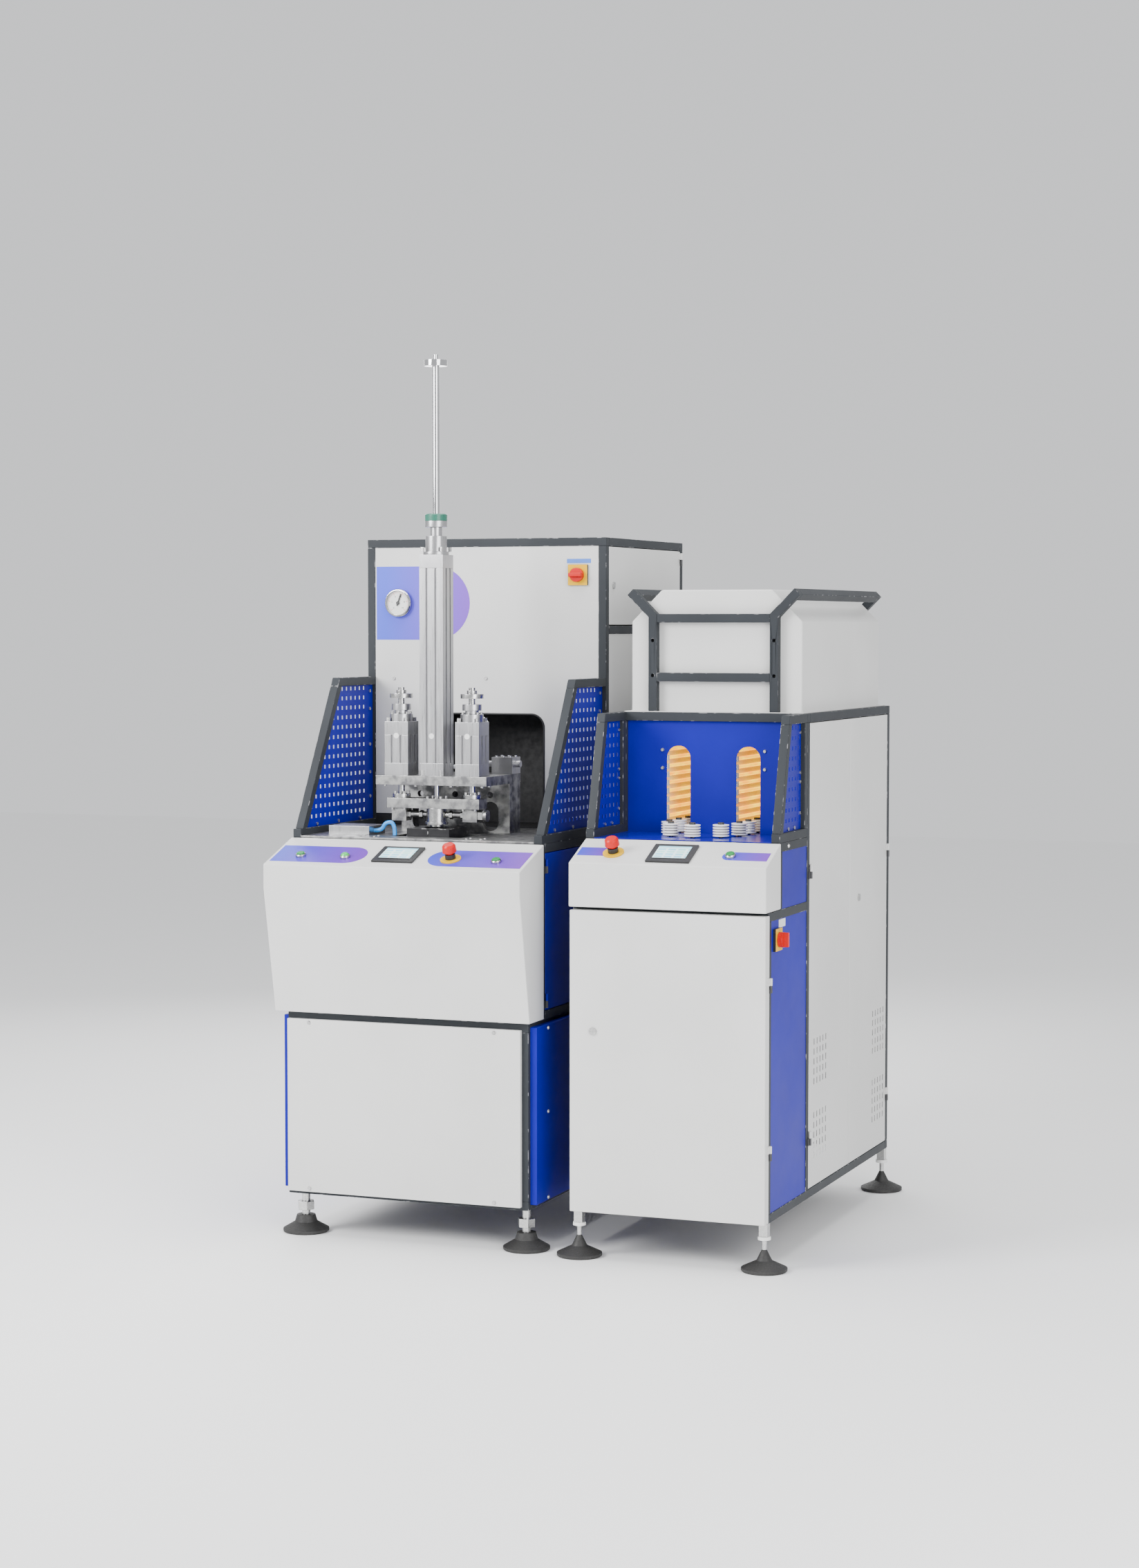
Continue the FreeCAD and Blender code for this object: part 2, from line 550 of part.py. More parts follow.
def cam_lock(label, x, y, z, turn, room, reach):
    """A quarter-turn lock: slotted round head, shank through the door, and its cam behind.

    It is drawn facing +Z with the cam along +Y, then turned. room is from face to cam."""
    head = cut(rod("0", "0", "0", "lock_radius", "lock_out"),
               block("-lock_radius", "-1.5", "lock_out - 1.5", "2 * lock_radius", "3", "3"))
    shank = rod("0", "0", f"-({room})", "lock_shank", f"{room} + 1")
    cam = block("-cam_wide / 2", "-cam_wide / 2", f"-({room}) - cam_thick", "cam_wide", reach,
                "cam_thick")
    node(label, place(fuse(head, shank, cam), x, y, z, turn))


SIDE_LOCK = FreeCAD.Rotation(-Y, -Z, X, "ZXY")
FRONT_LOCK = FreeCAD.Rotation(-X, -Z, -Y, "ZXY")


def doors():
    """Every hinged leaf with its upper barrels and its lock, and the fixed half of each hinge."""
    fixed = []

    def leaf(label, tray_piece, pins, toward, hole=None, extra=(), step="0"):
        tools = list(extra)
        if hole:
            tools.append(rod(*hole[:3], "lock_shank + lock_play", "2 * tray", hole[3]))
        piece = cut(tray_piece, *tools) if tools else tray_piece
        moving = []
        for x, y, z in pins:
            upper, lower = knuckles(x, y, z, toward, step)
            moving.append(upper)
            fixed.append(lower)
        node(label, piece, *moving)

    out = "press_right + knuckle_out"
    across = ("press_right - tray", "press_right")
    leaf("press_side_door",
         folded(across, ("neck_front + tube + gap", "tower_front - gap"),
                ("door_low", "deck_line - tube - gap"), "-x"),
         [(out, "neck_front + tube + 1", z) for z in ("mid_hinge_high", "mid_hinge_low")], "+")
    leaf("tower_side_door",
         folded(across, ("tower_front + tube + gap", "press_back - tube - gap"),
                ("tower_door_low", "tower_high - tube - gap"), "-x"),
         [(out, "press_back - tube - 1", z) for z in ("top_hinge_high", "top_hinge_low")], "-",
         ("press_right - tray - 5", "tower_lock_deep", "tower_lock_high", "x"))
    cam_lock("tower_door_lock", "press_right", "tower_lock_deep", "tower_lock_high", SIDE_LOCK,
             "tube + 2", "tower_lock_deep - tower_front - tube + 14")

    leaf("oven_front_door",
         folded(("front_door_left", "front_door_right"), ("desk_nose", "front_door_back"),
                ("front_door_low", "front_door_high"), "+y"),
         [("front_door_right + knuckle_out", "front_door_back + gap", z)
          for z in ("front_hinge_high", "front_hinge_low")], "-",
         ("front_lock_across", "desk_nose - 5", "front_lock_high", "y"),
         step="front_door_right - oven_right")
    cam_lock("oven_front_lock", "front_lock_across", "desk_nose", "front_lock_high", FRONT_LOCK,
             "oven_front + tube + 2 - desk_nose", "front_lock_across - oven_left - tube + 14")

    out = "oven_right + knuckle_out"
    across = ("oven_right - tray", "oven_right")
    tall = ("oven_low + tube + gap", "oven_high - tube - gap")
    heights = ("side_hinge_high", "side_hinge_low")
    leaf("oven_side_door_front",
         folded(across, ("oven_rear_front + tube + gap", "seam - seam_gap / 2"), tall, "-x"),
         [(out, "oven_rear_front + tube + 1", z) for z in heights], "+",
         extra=vents("oven_right - tray - 5", "vent_front"))
    leaf("oven_side_door_rear",
         folded(across, ("seam + seam_gap / 2", "oven_back - tube - gap"), tall, "-x"),
         [(out, "oven_back - tube - 1", z) for z in heights], "-",
         ("oven_right - tray - 5", "side_lock_deep", "side_lock_high", "x"),
         extra=vents("oven_right - tray - 5", "vent_rear"))
    cam_lock("oven_side_lock", "oven_right", "side_lock_deep", "side_lock_high", SIDE_LOCK,
             "tube", "side_lock_deep - seam + 22")
    node("hinge_posts", *fixed)


# ---------------------------------------------------------------- blow head

def head_plates():
    """The steel plates that carry the cylinders, and the deck they stand on."""
    low = "deck_line + deck_thick"
    face = span(("arch_left", "arch_right"), ("arch_front", "arch_front + arch_thick"),
                (low, "top_low"))
    tools = []
    for left in ("arch_left + leg", "arch_right - leg - arch_slot"):
        middle, radius = f"{left} + arch_slot / 2", "arch_slot / 2"
        slot_low, slot_high = f"{low} + 6 + {radius}", f"arch_slot_high - {radius}"
        tools.append(span((left, f"{left} + arch_slot"), ("arch_front - 1", "arch_front + tube"),
                          (slot_low, slot_high)))
        tools += [rod(middle, "arch_front - 1", z, radius, "tube + 1", "y")
                  for z in (slot_low, slot_high)]
    for step in ("-pitch_across", "0", "pitch_across"):
        tools.append(rod(f"head_across + {step}", "arch_front - 1", "arch_hole_high",
                         "arch_hole_radius", "tube", "y"))
    cheeks = [span(x, ("arch_front + arch_thick", "top_back"), (low, "top_low"))
              for x in (("arch_left", "arch_left + arch_thick"),
                        ("arch_right - arch_thick", "arch_right"))]
    rods = [rod(f"head_across + {step}", "head_deep", "top_low - 1", "side_rod_radius + 1.5",
                "plate + tube + 5")
            for step in ("-pitch_across", "0", "pitch_across")]
    top = cut(span(("top_left", "top_right"), ("top_front", "top_back"), ("top_low", "top_high")),
              *rods)
    node("head_frame_plates", cut(face, *tools), *cheeks, top)
    well = span(("well_left", "well_right"), ("well_front", "well_back"),
                ("deck_line - 1", "wing_high"))
    deck = cut(span(("press_left + tube", "press_right - tube"), ("neck_front", "tower_front"),
                    ("deck_line", low)), well)
    node("deck_plate", deck, *mould_bed())


def square_block(x, low, high, grooves):
    """A length of square cylinder stock round a bore axis, with two grooves down each face."""
    half = "block / 2"
    piece = span((f"{x} - {half}", f"{x} + {half}"), (f"head_deep - {half}", f"head_deep + {half}"),
                 (low, high))
    tools = []
    if grooves:
        for side in ("groove_at", "-groove_at"):
            middle = (f"{side} - groove / 2", f"{side} + groove / 2")
            for edge in (f"-({half})", f"{half} - groove_deep"):
                depth = (edge, f"{edge} + groove_deep")
                for across, deep in ((middle, depth), (depth, middle)):
                    tools.append(span(tuple(f"{x} + {value}" for value in across),
                                      tuple(f"head_deep + {value}" for value in deep),
                                      (low, high)))
    return piece, tools


def cylinder_stack(x, low_bore, bore, barrel_low, barrel_high, top, rings):
    """A cylinder from the top plate up: bottom cap, grooved barrel, top cap, then round pieces.

    rings are (low, high, radius) of what stands on the top cap. The bores are the rod's holes
    through the bottom cap and through everything above the barrel."""
    made = []
    for low, high, inside in (("top_high", barrel_low, low_bore),
                              (barrel_low, barrel_high, "bore_radius"), (barrel_high, top, bore)):
        piece, tools = square_block(x, low, high, inside == "bore_radius")
        made.append(cut(piece, rod(x, "head_deep", f"{low} - 1", inside, f"{high} - {low} + 2"),
                        *tools))
    for low, high, radius in rings:
        made.append(cut(rod(x, "head_deep", low, radius, f"{high} - {low}"),
                        rod(x, "head_deep", f"{low} - 1", bore, f"{high} - {low} + 2")))
    return made


def cylinders():
    """The two nozzle cylinders and the long stretch cylinder between them, with their rods."""
    bore = "side_rod_radius + slide_play"
    stacks, rods = [], []
    for step in ("-pitch_across", "pitch_across"):
        x = f"head_across + {step}"
        stacks += cylinder_stack(x, bore, bore, "side_low_cap", "side_barrel", "side_high_cap",
                                 [("side_high_cap", "side_flange", "block / 2 - 4"),
                                  ("side_flange", "side_sleeve", "side_sleeve_radius"),
                                  ("side_sleeve", "side_ring", "side_ring_radius")])
        shaft = [("0", "bar_high"), ("side_rod_radius", "bar_high"),
                 ("side_rod_radius", "side_piston_low"),
                 ("bore_radius - slide_play", "side_piston_low"),
                 ("bore_radius - slide_play", "side_piston_low + piston_thick"),
                 ("side_rod_radius", "side_piston_low + piston_thick"),
                 ("side_rod_radius", "side_rod_high"), ("0", "side_rod_high")]
        rods.append(turned(shaft, x, "head_deep", "0"))
        for low, high, radius in (("side_disc_low", "side_disc_high", "side_disc_radius"),
                                  ("side_disc_high", "side_nut_high", "side_nut_radius"),
                                  ("bar_high", "coupling_high", "coupling_radius")):
            rods.append(cut(rod(x, "head_deep", low, radius, f"{high} - {low}"),
                            rod(x, "head_deep", f"{low} - 1", "side_rod_radius",
                                f"{high} - {low} + 2")))
    node("nozzle_cylinders", *stacks)
    node("nozzle_cylinder_rods", *rods)

    x, bore = "head_across", "rod_radius + slide_play"
    rings = [("long_high_cap", "long_plate", "block / 2"),
             ("long_plate", "long_body", "long_body_radius"),
             ("long_body", "long_neck", "long_neck_radius"),
             ("long_neck", "long_flange", "long_flange_radius")]
    node("stretch_cylinder", *cylinder_stack(x, "spear_radius + slide_play", bore, "long_low_cap",
                                             "long_barrel", "long_high_cap", rings))
    node("stretch_bumper",
         turned([(bore, "long_flange"), ("long_flange_radius", "long_flange"),
                 ("long_flange_radius", "bumper_high - 3"),
                 ("long_flange_radius - 3", "bumper_high"), (bore, "bumper_high")],
                x, "head_deep", "0"))
    piston = "bore_radius - slide_play"
    shaft = [("0", "spear_low"), ("spear_radius - 3", "spear_low"),
             ("spear_radius", "spear_low + 6"), ("spear_radius", "long_piston_low"),
             (piston, "long_piston_low"), (piston, "long_piston_low + piston_thick"),
             ("rod_radius", "long_piston_low + piston_thick"), ("rod_radius", "rod_high"),
             ("rod_end_radius", "rod_high"), ("rod_end_radius", "rod_end_high"),
             ("0", "rod_end_high")]
    node("stretch_rod", turned(shaft, x, "head_deep", "0"),
         cut(rod(x, "head_deep", "collar_low", "collar_radius", "rod_high - collar_low"),
             rod(x, "head_deep", "collar_low - 1", "rod_radius", "tube")))


def nozzle_carriage():
    """The cross bar that the side cylinders carry, its lugs and pipes, and the blow nozzle."""
    spear = rod("head_across", "head_deep", "lug_low", "nozzle_bore", "bar_high")
    bar = cut(span(("bar_left", "bar_right"), ("bar_front", "bar_back"), ("bar_low", "bar_high")),
              spear)
    lugs, pipes = [], []
    for sign, left in ((-1, "head_across - pitch_across - lug_wide / 2"),
                       (1, "head_across + pitch_across - lug_wide / 2")):
        lugs.append(block(left, "head_deep - lug_deep / 2", "lug_low", "lug_wide", "lug_deep",
                          "bar_low - lug_low"))
        inner = f"{left} + lug_wide" if sign < 0 else "head_across + nozzle_radius + 0.5"
        middle = "(lug_low + bar_low) / 2"
        gap = "pitch_across - lug_wide / 2 - nozzle_radius - 0.5"
        pipes.append(rod(inner, "head_deep", middle, "plug_radius / 2", gap, "x"))
    plug = rod("head_across + pitch_across + lug_wide / 2", "head_deep", "(lug_low + bar_low) / 2",
               "plug_radius", "plug_out", "x")
    node("nozzle_bar", bar, *lugs, *pipes, plug)
    node("blow_nozzle",
         turned([("nozzle_bore", "tip_low"), ("tip_radius", "tip_low"),
                 ("tip_radius", "nozzle_low"), ("nozzle_lip_radius", "nozzle_low"),
                 ("nozzle_lip_radius", "nozzle_lip_high"), ("nozzle_radius", "nozzle_lip_high"),
                 ("nozzle_radius", "bar_low"), ("nozzle_bore", "bar_low")],
                "head_across", "head_deep", "0"))


def mould():
    """Two mould halves that part left and right."""
    bottle = [("0", "bottle_low"), ("bottle_radius - 6", "bottle_low"),
              ("bottle_radius", "bottle_low + 6"), ("bottle_radius", "bottle_high"),
              ("bottle_neck_radius", "bottle_neck_low"), ("bottle_neck_radius", "seat_low"),
              ("seat_radius", "seat_low"), ("seat_radius", "mould_high + 1"),
              ("0", "mould_high + 1")]
    for label, x in (("left_mould_half", ("mould_left", "head_across - mould_split")),
                     ("right_mould_half", ("head_across + mould_split", "mould_right"))):
        node(label, cut(span(x, ("mould_front", "mould_back"), ("mould_low", "mould_high")),
                        turned(bottle, "head_across", "head_deep", "0")))


def mould_bed():
    """The bed that the mould halves slide on, and the two bars under it."""
    bars = [span(("press_left + tube", "press_right - tube"), (front, f"{front} + tube"),
                 ("mould_low - bed_thick - tube", "mould_low - bed_thick"))
            for front in ("mould_front", "mould_back - tube")]
    return [span(("well_left - tube", "well_right + tube"), ("mould_front", "mould_back"),
                 ("mould_low - bed_thick", "mould_low")), *bars]


def corner_path(points, factor=0.45):
    """Straight runs joined by tangent arcs, each as large as its two runs allow."""
    edges, last = [], points[0]
    for before, corner, after in zip(points, points[1:], points[2:]):
        back, ahead = (before - corner), (after - corner)
        turn = math.pi - back.getAngle(ahead)
        cutback = factor * min(back.Length, ahead.Length)
        radius = cutback / math.tan(turn / 2)
        start = corner + back.normalize() * cutback
        end = corner + ahead.normalize() * cutback
        centre = corner + (back + ahead).normalize() * (radius / math.cos(turn / 2))
        middle = centre + (corner - centre).normalize() * radius
        edges += [Part.LineSegment(last, start).toShape(), Part.Arc(start, middle, end).toShape()]
        last = end
    edges.append(Part.LineSegment(last, points[-1]).toShape())
    return Part.Wire(edges)


def hose(points, radius):
    """A round hose along a path of runs and arcs."""
    points = [FreeCAD.Vector(*(number(value) for value in point)) for point in points]
    path = corner_path(points)
    ends = Part.Wire(Part.makeCircle(number(radius), points[0], points[1] - points[0]))
    piece = doc.addObject("Part::Feature", "Hose")
    piece.Shape = path.makePipeShell([ends], True, False)
    flow = math.pi * number(radius) ** 2 * path.Length
    if abs(piece.Shape.Volume / flow - 1) > 0.02:
        raise ValueError("a hose's volume doesn't match its length")
    return piece


def valves_and_hoses():
    """The valve block behind the cylinders, its fittings, and the air hoses between them."""
    body = span(("valve_left", "top_right"), ("valve_front", "top_back"), ("top_high", "valve_high"))
    middle = "valve_high - 20"
    tee = [rod("valve_left - 16", y, middle, "hose_radius + 3", "16", "x")
           for y in ("valve_front + 16", "valve_front + 44")]
    stub = [rod("top_right", "valve_front + 30", middle, "hose_radius + 4", "14", "x")]
    ports = [rod(x, "head_deep + block / 2", z, "hose_radius + 2", "12", "y")
             for x, z in (("head_across", "port_low"), ("head_across + pitch_across", "port_high"))]
    low = "deck_line + deck_thick"
    junction = block("junction_left", "junction_front", low, "junction_wide", "junction_deep",
                     "junction_tall")
    node("valve_block", body, *tee, *stub, *ports, junction)

    port_out = "head_deep + block / 2 + 12"
    node("port_hose",
         hose([("valve_left - 16", "valve_front + 16", middle),
               ("valve_left - 66", "valve_front + 16", middle),
               ("head_across + 6", "valve_front + 8", "port_low + 6"),
               ("head_across", "valve_front - 38", "port_low"),
               ("head_across", port_out, "port_low")], "hose_radius"))
    across = "head_across + pitch_across"
    node("upper_hose",
         hose([("valve_left - 16", "valve_front + 44", middle),
               ("valve_left - 70", "valve_front + 44", middle),
               ("valve_left - 90", "valve_front + 44", "middle_hose"),
               (f"{across} - 60", "valve_front + 30", "port_high + 40"),
               (across, "valve_front - 10", "port_high"),
               (across, port_out, "port_high")], "hose_radius"))
    out, deep = "junction_left + junction_wide", "junction_front + hose_inset"
    node("deck_hose",
         hose([(out, deep, f"{low} + 12"), (f"{out} + 22", deep, f"{low} + 12"),
               (f"{out} + 34", deep, f"{low} + 37"), (f"{out} + 64", deep, f"{low} + 37"),
               (f"{out} + 64", deep, low)], "hose_radius"))


# ---------------------------------------------------------------- controls

def slope(low, high):
    """The place of a point up a sloping desk: along its face, and above it."""
    run, rise = number(f"{high[0]} - ({low[0]})"), number(f"{high[1]} - ({low[1]})")
    angle = math.atan2(rise, run)
    turn = FreeCAD.Rotation(X, math.degrees(angle))

    def put(piece, x, up, above="0"):
        along, off = (f"({up}) * {math.cos(angle)} - ({above}) * {math.sin(angle)}",
                      f"({up}) * {math.sin(angle)} + ({above}) * {math.cos(angle)}")
        return place(piece, x, f"{low[0]} + {along}", f"{low[1]} + {off}", turn)
    return put


PRESS_DESK = slope(("hood_nose", "nose_high"), ("neck_front", "deck_line"))
OVEN_DESK = slope(("desk_nose", "desk_nose_high"), ("desk_back", "desk_high"))


def console_controls():
    """Push buttons, the ready lamp, the stop buttons and the two touch screens."""
    starts = [("left_start_button", PRESS_DESK, "start_left_across", "press_button_up"),
              ("right_start_button", PRESS_DESK, "start_right_across", "press_button_up"),
              ("oven_start_button", OVEN_DESK, "oven_start_across", "oven_button_up")]
    lamp = [("0", "0"), ("lamp_radius", "0"), ("lamp_radius", "bezel_high"),
            ("lamp_radius * 0.7", "lamp_high - 1.5"), ("0", "lamp_high")]
    cap = [("0", "button_low"), ("button_radius", "button_low"),
           ("button_radius", "button_high - 1"), ("button_radius - 2", "button_high"),
           ("0", "button_high")]
    collar = [("button_radius + button_play", "0"), ("bezel_radius", "0"),
              ("bezel_radius", "bezel_high - 3"), ("bezel_radius - 2", "bezel_high"),
              ("button_radius + button_play", "bezel_high")]
    bezels = []
    for label, desk, x, up in starts:
        node(label, desk(turned(cap), x, up))
        bezels.append(desk(turned(collar), x, up))
    bezels.append(PRESS_DESK(turned(collar), "ready_across", "press_button_up"))
    bezels.append(PRESS_DESK(turned(lamp), "ready_across", "press_button_up"))

    base = [("stop_stem_radius + button_play", "0"), ("stop_disc_radius", "0"),
            ("stop_disc_radius", "stop_disc_high"), ("stop_collar_radius", "stop_disc_high"),
            ("stop_collar_radius", "stop_collar_high"),
            ("stop_stem_radius + button_play", "stop_collar_high")]
    head = [("0", "stop_stem_low"), ("stop_stem_radius", "stop_stem_low"),
            ("stop_stem_radius", "stop_head_low"), ("stop_head_radius", "stop_head_low"),
            ("stop_top_radius", "stop_head_high - 5"), ("stop_top_radius - 4", "stop_head_high"),
            ("0", "stop_head_high")]
    for label, desk, x, up in (("press_stop_head", PRESS_DESK, "press_stop_across", "press_stop_up"),
                               ("oven_stop_head", OVEN_DESK, "oven_stop_across",
                                "oven_button_up")):
        node(label, desk(turned(head), x, up))
        bezels.append(desk(turned(base), x, up))
    node("control_bezels", *bezels)

    screens = []
    for desk, x, up in ((PRESS_DESK, "press_screen_across", "press_screen_up"),
                        (OVEN_DESK, "oven_screen_across", "oven_screen_up")):
        frame = sized("Box", Length="screen_wide", Width="screen_tall", Height="screen_thick")
        glass = sized("Box", Length="screen_wide - 2 * screen_margin",
                      Width="screen_tall - 2 * screen_margin", Height="0.6")
        screens.append(desk(frame, f"{x} - screen_wide / 2", f"{up} - screen_tall / 2"))
        screens.append(desk(glass, f"{x} - screen_wide / 2 + screen_margin",
                            f"{up} - screen_tall / 2 + screen_margin", "screen_thick"))
    node("touch_screens", *screens)


def main_switches():
    """The two rotary main switches: plate and boss, and the knob with its grip."""
    turns = {"press": FreeCAD.Rotation(X, 90), "oven": TURN["x"]}
    spots = {"press": ("switch_across", "face_front", "switch_high"),
             "oven": ("oven_right - gap", "oven_switch_deep", "oven_switch_high")}
    plates = []
    for name, turn in turns.items():
        half = "switch_side / 2"
        plate_piece = block(f"-{half}", f"-{half}", "0", "switch_side", "switch_side", "switch_out")
        plates.append(place(cut(plate_piece, rod("0", "0", "2", "stop_stem_radius", "switch_out")),
                            *spots[name], turn))
        disc = rod("0", "0", "switch_out + 0.4", "knob_radius", "knob_out")
        grip = block("-grip_long / 2", "-grip_wide / 2", "switch_out + knob_out",
                     "grip_long", "grip_wide", "grip_out")
        peg = rod("0", "0", "2.4", "stop_stem_radius - button_play", "switch_out")
        node(f"{name}_switch_knob", place(fuse(disc, grip, peg), *spots[name], turn))
    node("main_switch_plates", *plates)


def gauge():
    """The pressure gauge: a bezelled case with a sunk dial, and the needle on its pin."""
    turn = FreeCAD.Rotation(X, 90)
    spot = ("gauge_across", "face_front", "gauge_high")
    case = [("0", "0"), ("gauge_radius", "0"), ("gauge_radius", "gauge_out - 4"),
            ("gauge_radius - 3", "gauge_out"), ("dial_radius", "gauge_out"),
            ("dial_radius", "gauge_out - 7"), ("2", "gauge_out - 7"), ("2", "gauge_out - 4"),
            ("0", "gauge_out - 4")]
    node("gauge_case", turned(case, *spot, turn))
    hub = rod("0", "0", "gauge_out - 6", "5", "3.2")
    blade = block("-needle_tail", "-needle_wide / 2", "gauge_out - 5", "needle_tail + needle_long",
                  "needle_wide", "1.2")
    bore = rod("0", "0", "gauge_out - 9", "2.05", "gauge_out")
    needle = place(cut(fuse(hub, blade), bore), *spot, turn * FreeCAD.Rotation(Z, number("needle_rest")))
    node("gauge_needle", needle)


# ---------------------------------------------------------------- feet and screws

def feet():
    """Levelling feet: pad and stud with a lock nut on the press, socket and washer on the oven."""
    pads, studs = [], []
    dome = [("0", "0"), ("pad_radius - 3", "0"), ("pad_radius", "3"), ("pad_radius", "pad_rim"),
            ("pad_hub_radius + 6", "pad_shoulder"), ("pad_hub_radius", "pad_hub"),
            ("0", "pad_hub")]
    deep = ("foot_inset_deep", "press_back - foot_inset_deep")
    for x in ("base_left + foot_inset_across", "base_right - foot_inset_across"):
        for y in deep:
            pads.append(turned(dome, x, y))
            studs.append(rod(x, y, "pad_hub", "stud_radius", "base_low - pad_hub"))
            nut = doc.addObject("Part::Prism", "Nut")
            nut.Polygon = 6
            nut.setExpression("Circumradius", bind("foot_nut_radius"))
            nut.setExpression("Height", bind("foot_nut_high - foot_nut_low"))
            studs.append(cut(place(nut, x, y, "foot_nut_low"),
                             rod(x, y, "foot_nut_low - 1", "stud_radius", "tube + 5")))

    legs = []
    dome = [("0", "0"), ("oven_pad_radius - 3", "0"), ("oven_pad_radius", "3"),
            ("oven_pad_radius", "pad_rim"), ("washer_radius + 4", "oven_hub - 8"),
            ("washer_radius", "oven_hub"), ("oven_stem_radius", "oven_cone_high"),
            ("0", "oven_cone_high")]
    for x in ("oven_left + oven_foot_inset", "oven_right - oven_foot_inset"):
        for y in ("oven_front + oven_foot_inset", "oven_back - oven_foot_inset"):
            pads.append(turned(dome, x, y))
            legs.append(rod(x, y, "oven_cone_high", "oven_stem_radius",
                            "washer_low - oven_cone_high"))
            legs.append(rod(x, y, "washer_low", "washer_radius", "socket_low - washer_low"))
            legs.append(block(f"{x} - socket_side / 2", f"{y} - socket_side / 2", "socket_low",
                              "socket_side", "socket_side", "oven_low - socket_low"))
    node("machine_feet", *pads, *studs, *legs)


def screws():
    """The button-head screws that hold the covers, seen as their heads."""
    head = [("0", "0"), ("screw_radius", "0"), ("screw_top", "screw_high"), ("0", "screw_high")]
    front, right = FreeCAD.Rotation(X, 90), TURN["x"]
    left = FreeCAD.Rotation(Y, -90)
    spots = [(x, "-panel_deep", z, front) for x in ("72", "650") for z in ("140", "622")]
    spots += [(x, "face_front", z, front) for x, z in (("67", "1603"), ("372", "1605"),
                                                       ("677", "1603"))]
    for z in ("145", "390", "628"):
        for y in ("100", "1180"):
            spots.append(("base_right + tray", y, z, right))
            spots.append(("base_left - tray", y, z, left))
    spots += [("oven_right", "198", "1156", right), ("oven_left", "198", "1156", left)]
    spots += [(x, "wall_front", z, front) for x in ("1008", "1316") for z in ("1355", "1407")]
    node("panel_screws", *(turned(head, x, y, z, turn) for x, y, z, turn in spots))


# ---------------------------------------------------------------- oven

def racetrack(half, low, high):
    """A solid with the chain's plan: two straight runs and two half rounds, half wide each way."""
    rear = "chain_front + 9 * mandrel_pitch"
    middle = "(lane_left + lane_right) / 2"
    lane = "(lane_right - lane_left) / 2"
    tall = f"({high}) - ({low})"
    radius = f"{lane} + {half}"
    return fuse(span((f"{middle} - ({radius})", f"{middle} + {radius}"), ("chain_front", rear),
                     (low, high)),
                rod(middle, "chain_front", low, radius, tall), rod(middle, rear, low, radius, tall))


def oven_inside():
    """The deck with its chain slot, the front wall, the chain and the wheels that carry it."""
    low, high = "oven_deck_line", "oven_deck_line + plate"
    sheet = span(("oven_left + tube", "oven_right - tube"),
                 ("oven_post_front", "oven_back - tube"), (low, high))
    outer = cut(sheet, racetrack("groove_half", f"{low} - 1", f"{high} + 1"))
    node("oven_deck", outer, racetrack("-groove_half", low, high))

    low = high
    face = span(("oven_left + tube", "oven_right - tube"), ("wall_front", "wall_front + plate"),
                (low, "oven_high - tube"))
    tools = []
    for lane in ("lane_left", "lane_right"):
        tools.append(span((f"{lane} - slot_radius", f"{lane} + slot_radius"),
                          ("wall_front - 1", "wall_front + tray"),
                          (f"{low} - 1", "slot_high - slot_radius")))
        tools.append(rod(lane, "wall_front - 1", "slot_high - slot_radius", "slot_radius", "tray", "y"))
    node("oven_inner_wall", cut(face, *tools))


def chain_and_wheels():
    """The mandrel chain with the two wheels it runs round, their axles and the beams below."""
    made = [cut(racetrack("chain_half", "chain_low", "chain_high"),
                racetrack("-chain_half", "chain_low - 1", "chain_high + 1"))]
    middle = "(lane_left + lane_right) / 2"
    radius = "(lane_right - lane_left) / 2 - chain_half"
    for y in ("chain_front", "chain_front + 9 * mandrel_pitch"):
        wheel = [("0", "shaft_low"), ("axle_radius", "shaft_low"), ("axle_radius", "chain_low"),
                 (radius, "chain_low"), (radius, "chain_high"), ("axle_radius", "chain_high"),
                 ("axle_radius", "oven_deck_line"), ("0", "oven_deck_line")]
        made.append(turned(wheel, middle, y))
        made += tubes((("oven_left + beam_inset", "oven_right - beam_inset"),
                       (f"{y} - tube / 2", f"{y} + tube / 2"), ("shaft_low - tube", "shaft_low")))
    return made


def mandrel(x, y, low):
    """A preform mandrel: dark stem up from the chain, ribbed white body and its chuck."""
    rib = "(mandrel_high - mandrel_low) / 9"
    shape = [("0", low), ("stem_radius", low), ("stem_radius", "mandrel_low")]
    for step in range(9):
        radius = "mandrel_radius" if step % 2 == 0 else "mandrel_radius - 5"
        shape += [(radius, f"mandrel_low + {step} * {rib}"),
                  (radius, f"mandrel_low + {step + 1} * {rib}")]
    shape += [("chuck_radius", "mandrel_high"), ("chuck_radius", "chuck_high"), ("0", "chuck_high")]
    return turned(shape, x, y)


def mandrels():
    """Five mandrels round the front of the loop, each its own, and the rest of the chain's."""
    middle, lane = "(lane_left + lane_right) / 2", "(lane_right - lane_left) / 2"
    for index in range(5):
        angle = math.radians(index * 45 - 90)
        node(f"front_mandrel_{'abcde'[index]}",
             mandrel(f"{middle} + {lane} * {math.sin(angle)}",
                     f"chain_front - {lane} * {math.cos(angle)}", "chain_high + 0.3"))
    rest = [mandrel(x, f"chain_front + {step} * mandrel_pitch", "chain_high")
            for x in ("lane_left", "lane_right") for step in range(1, 10)]
    for index in range(1, 4):
        angle = math.radians(index * 45 - 90)
        rest.append(mandrel(f"{middle} + {lane} * {math.sin(angle)}",
                            f"chain_front + 9 * mandrel_pitch + {lane} * {math.cos(angle)}",
                            "chain_high"))
    node("mandrel_chain", *chain_and_wheels(), *rest)


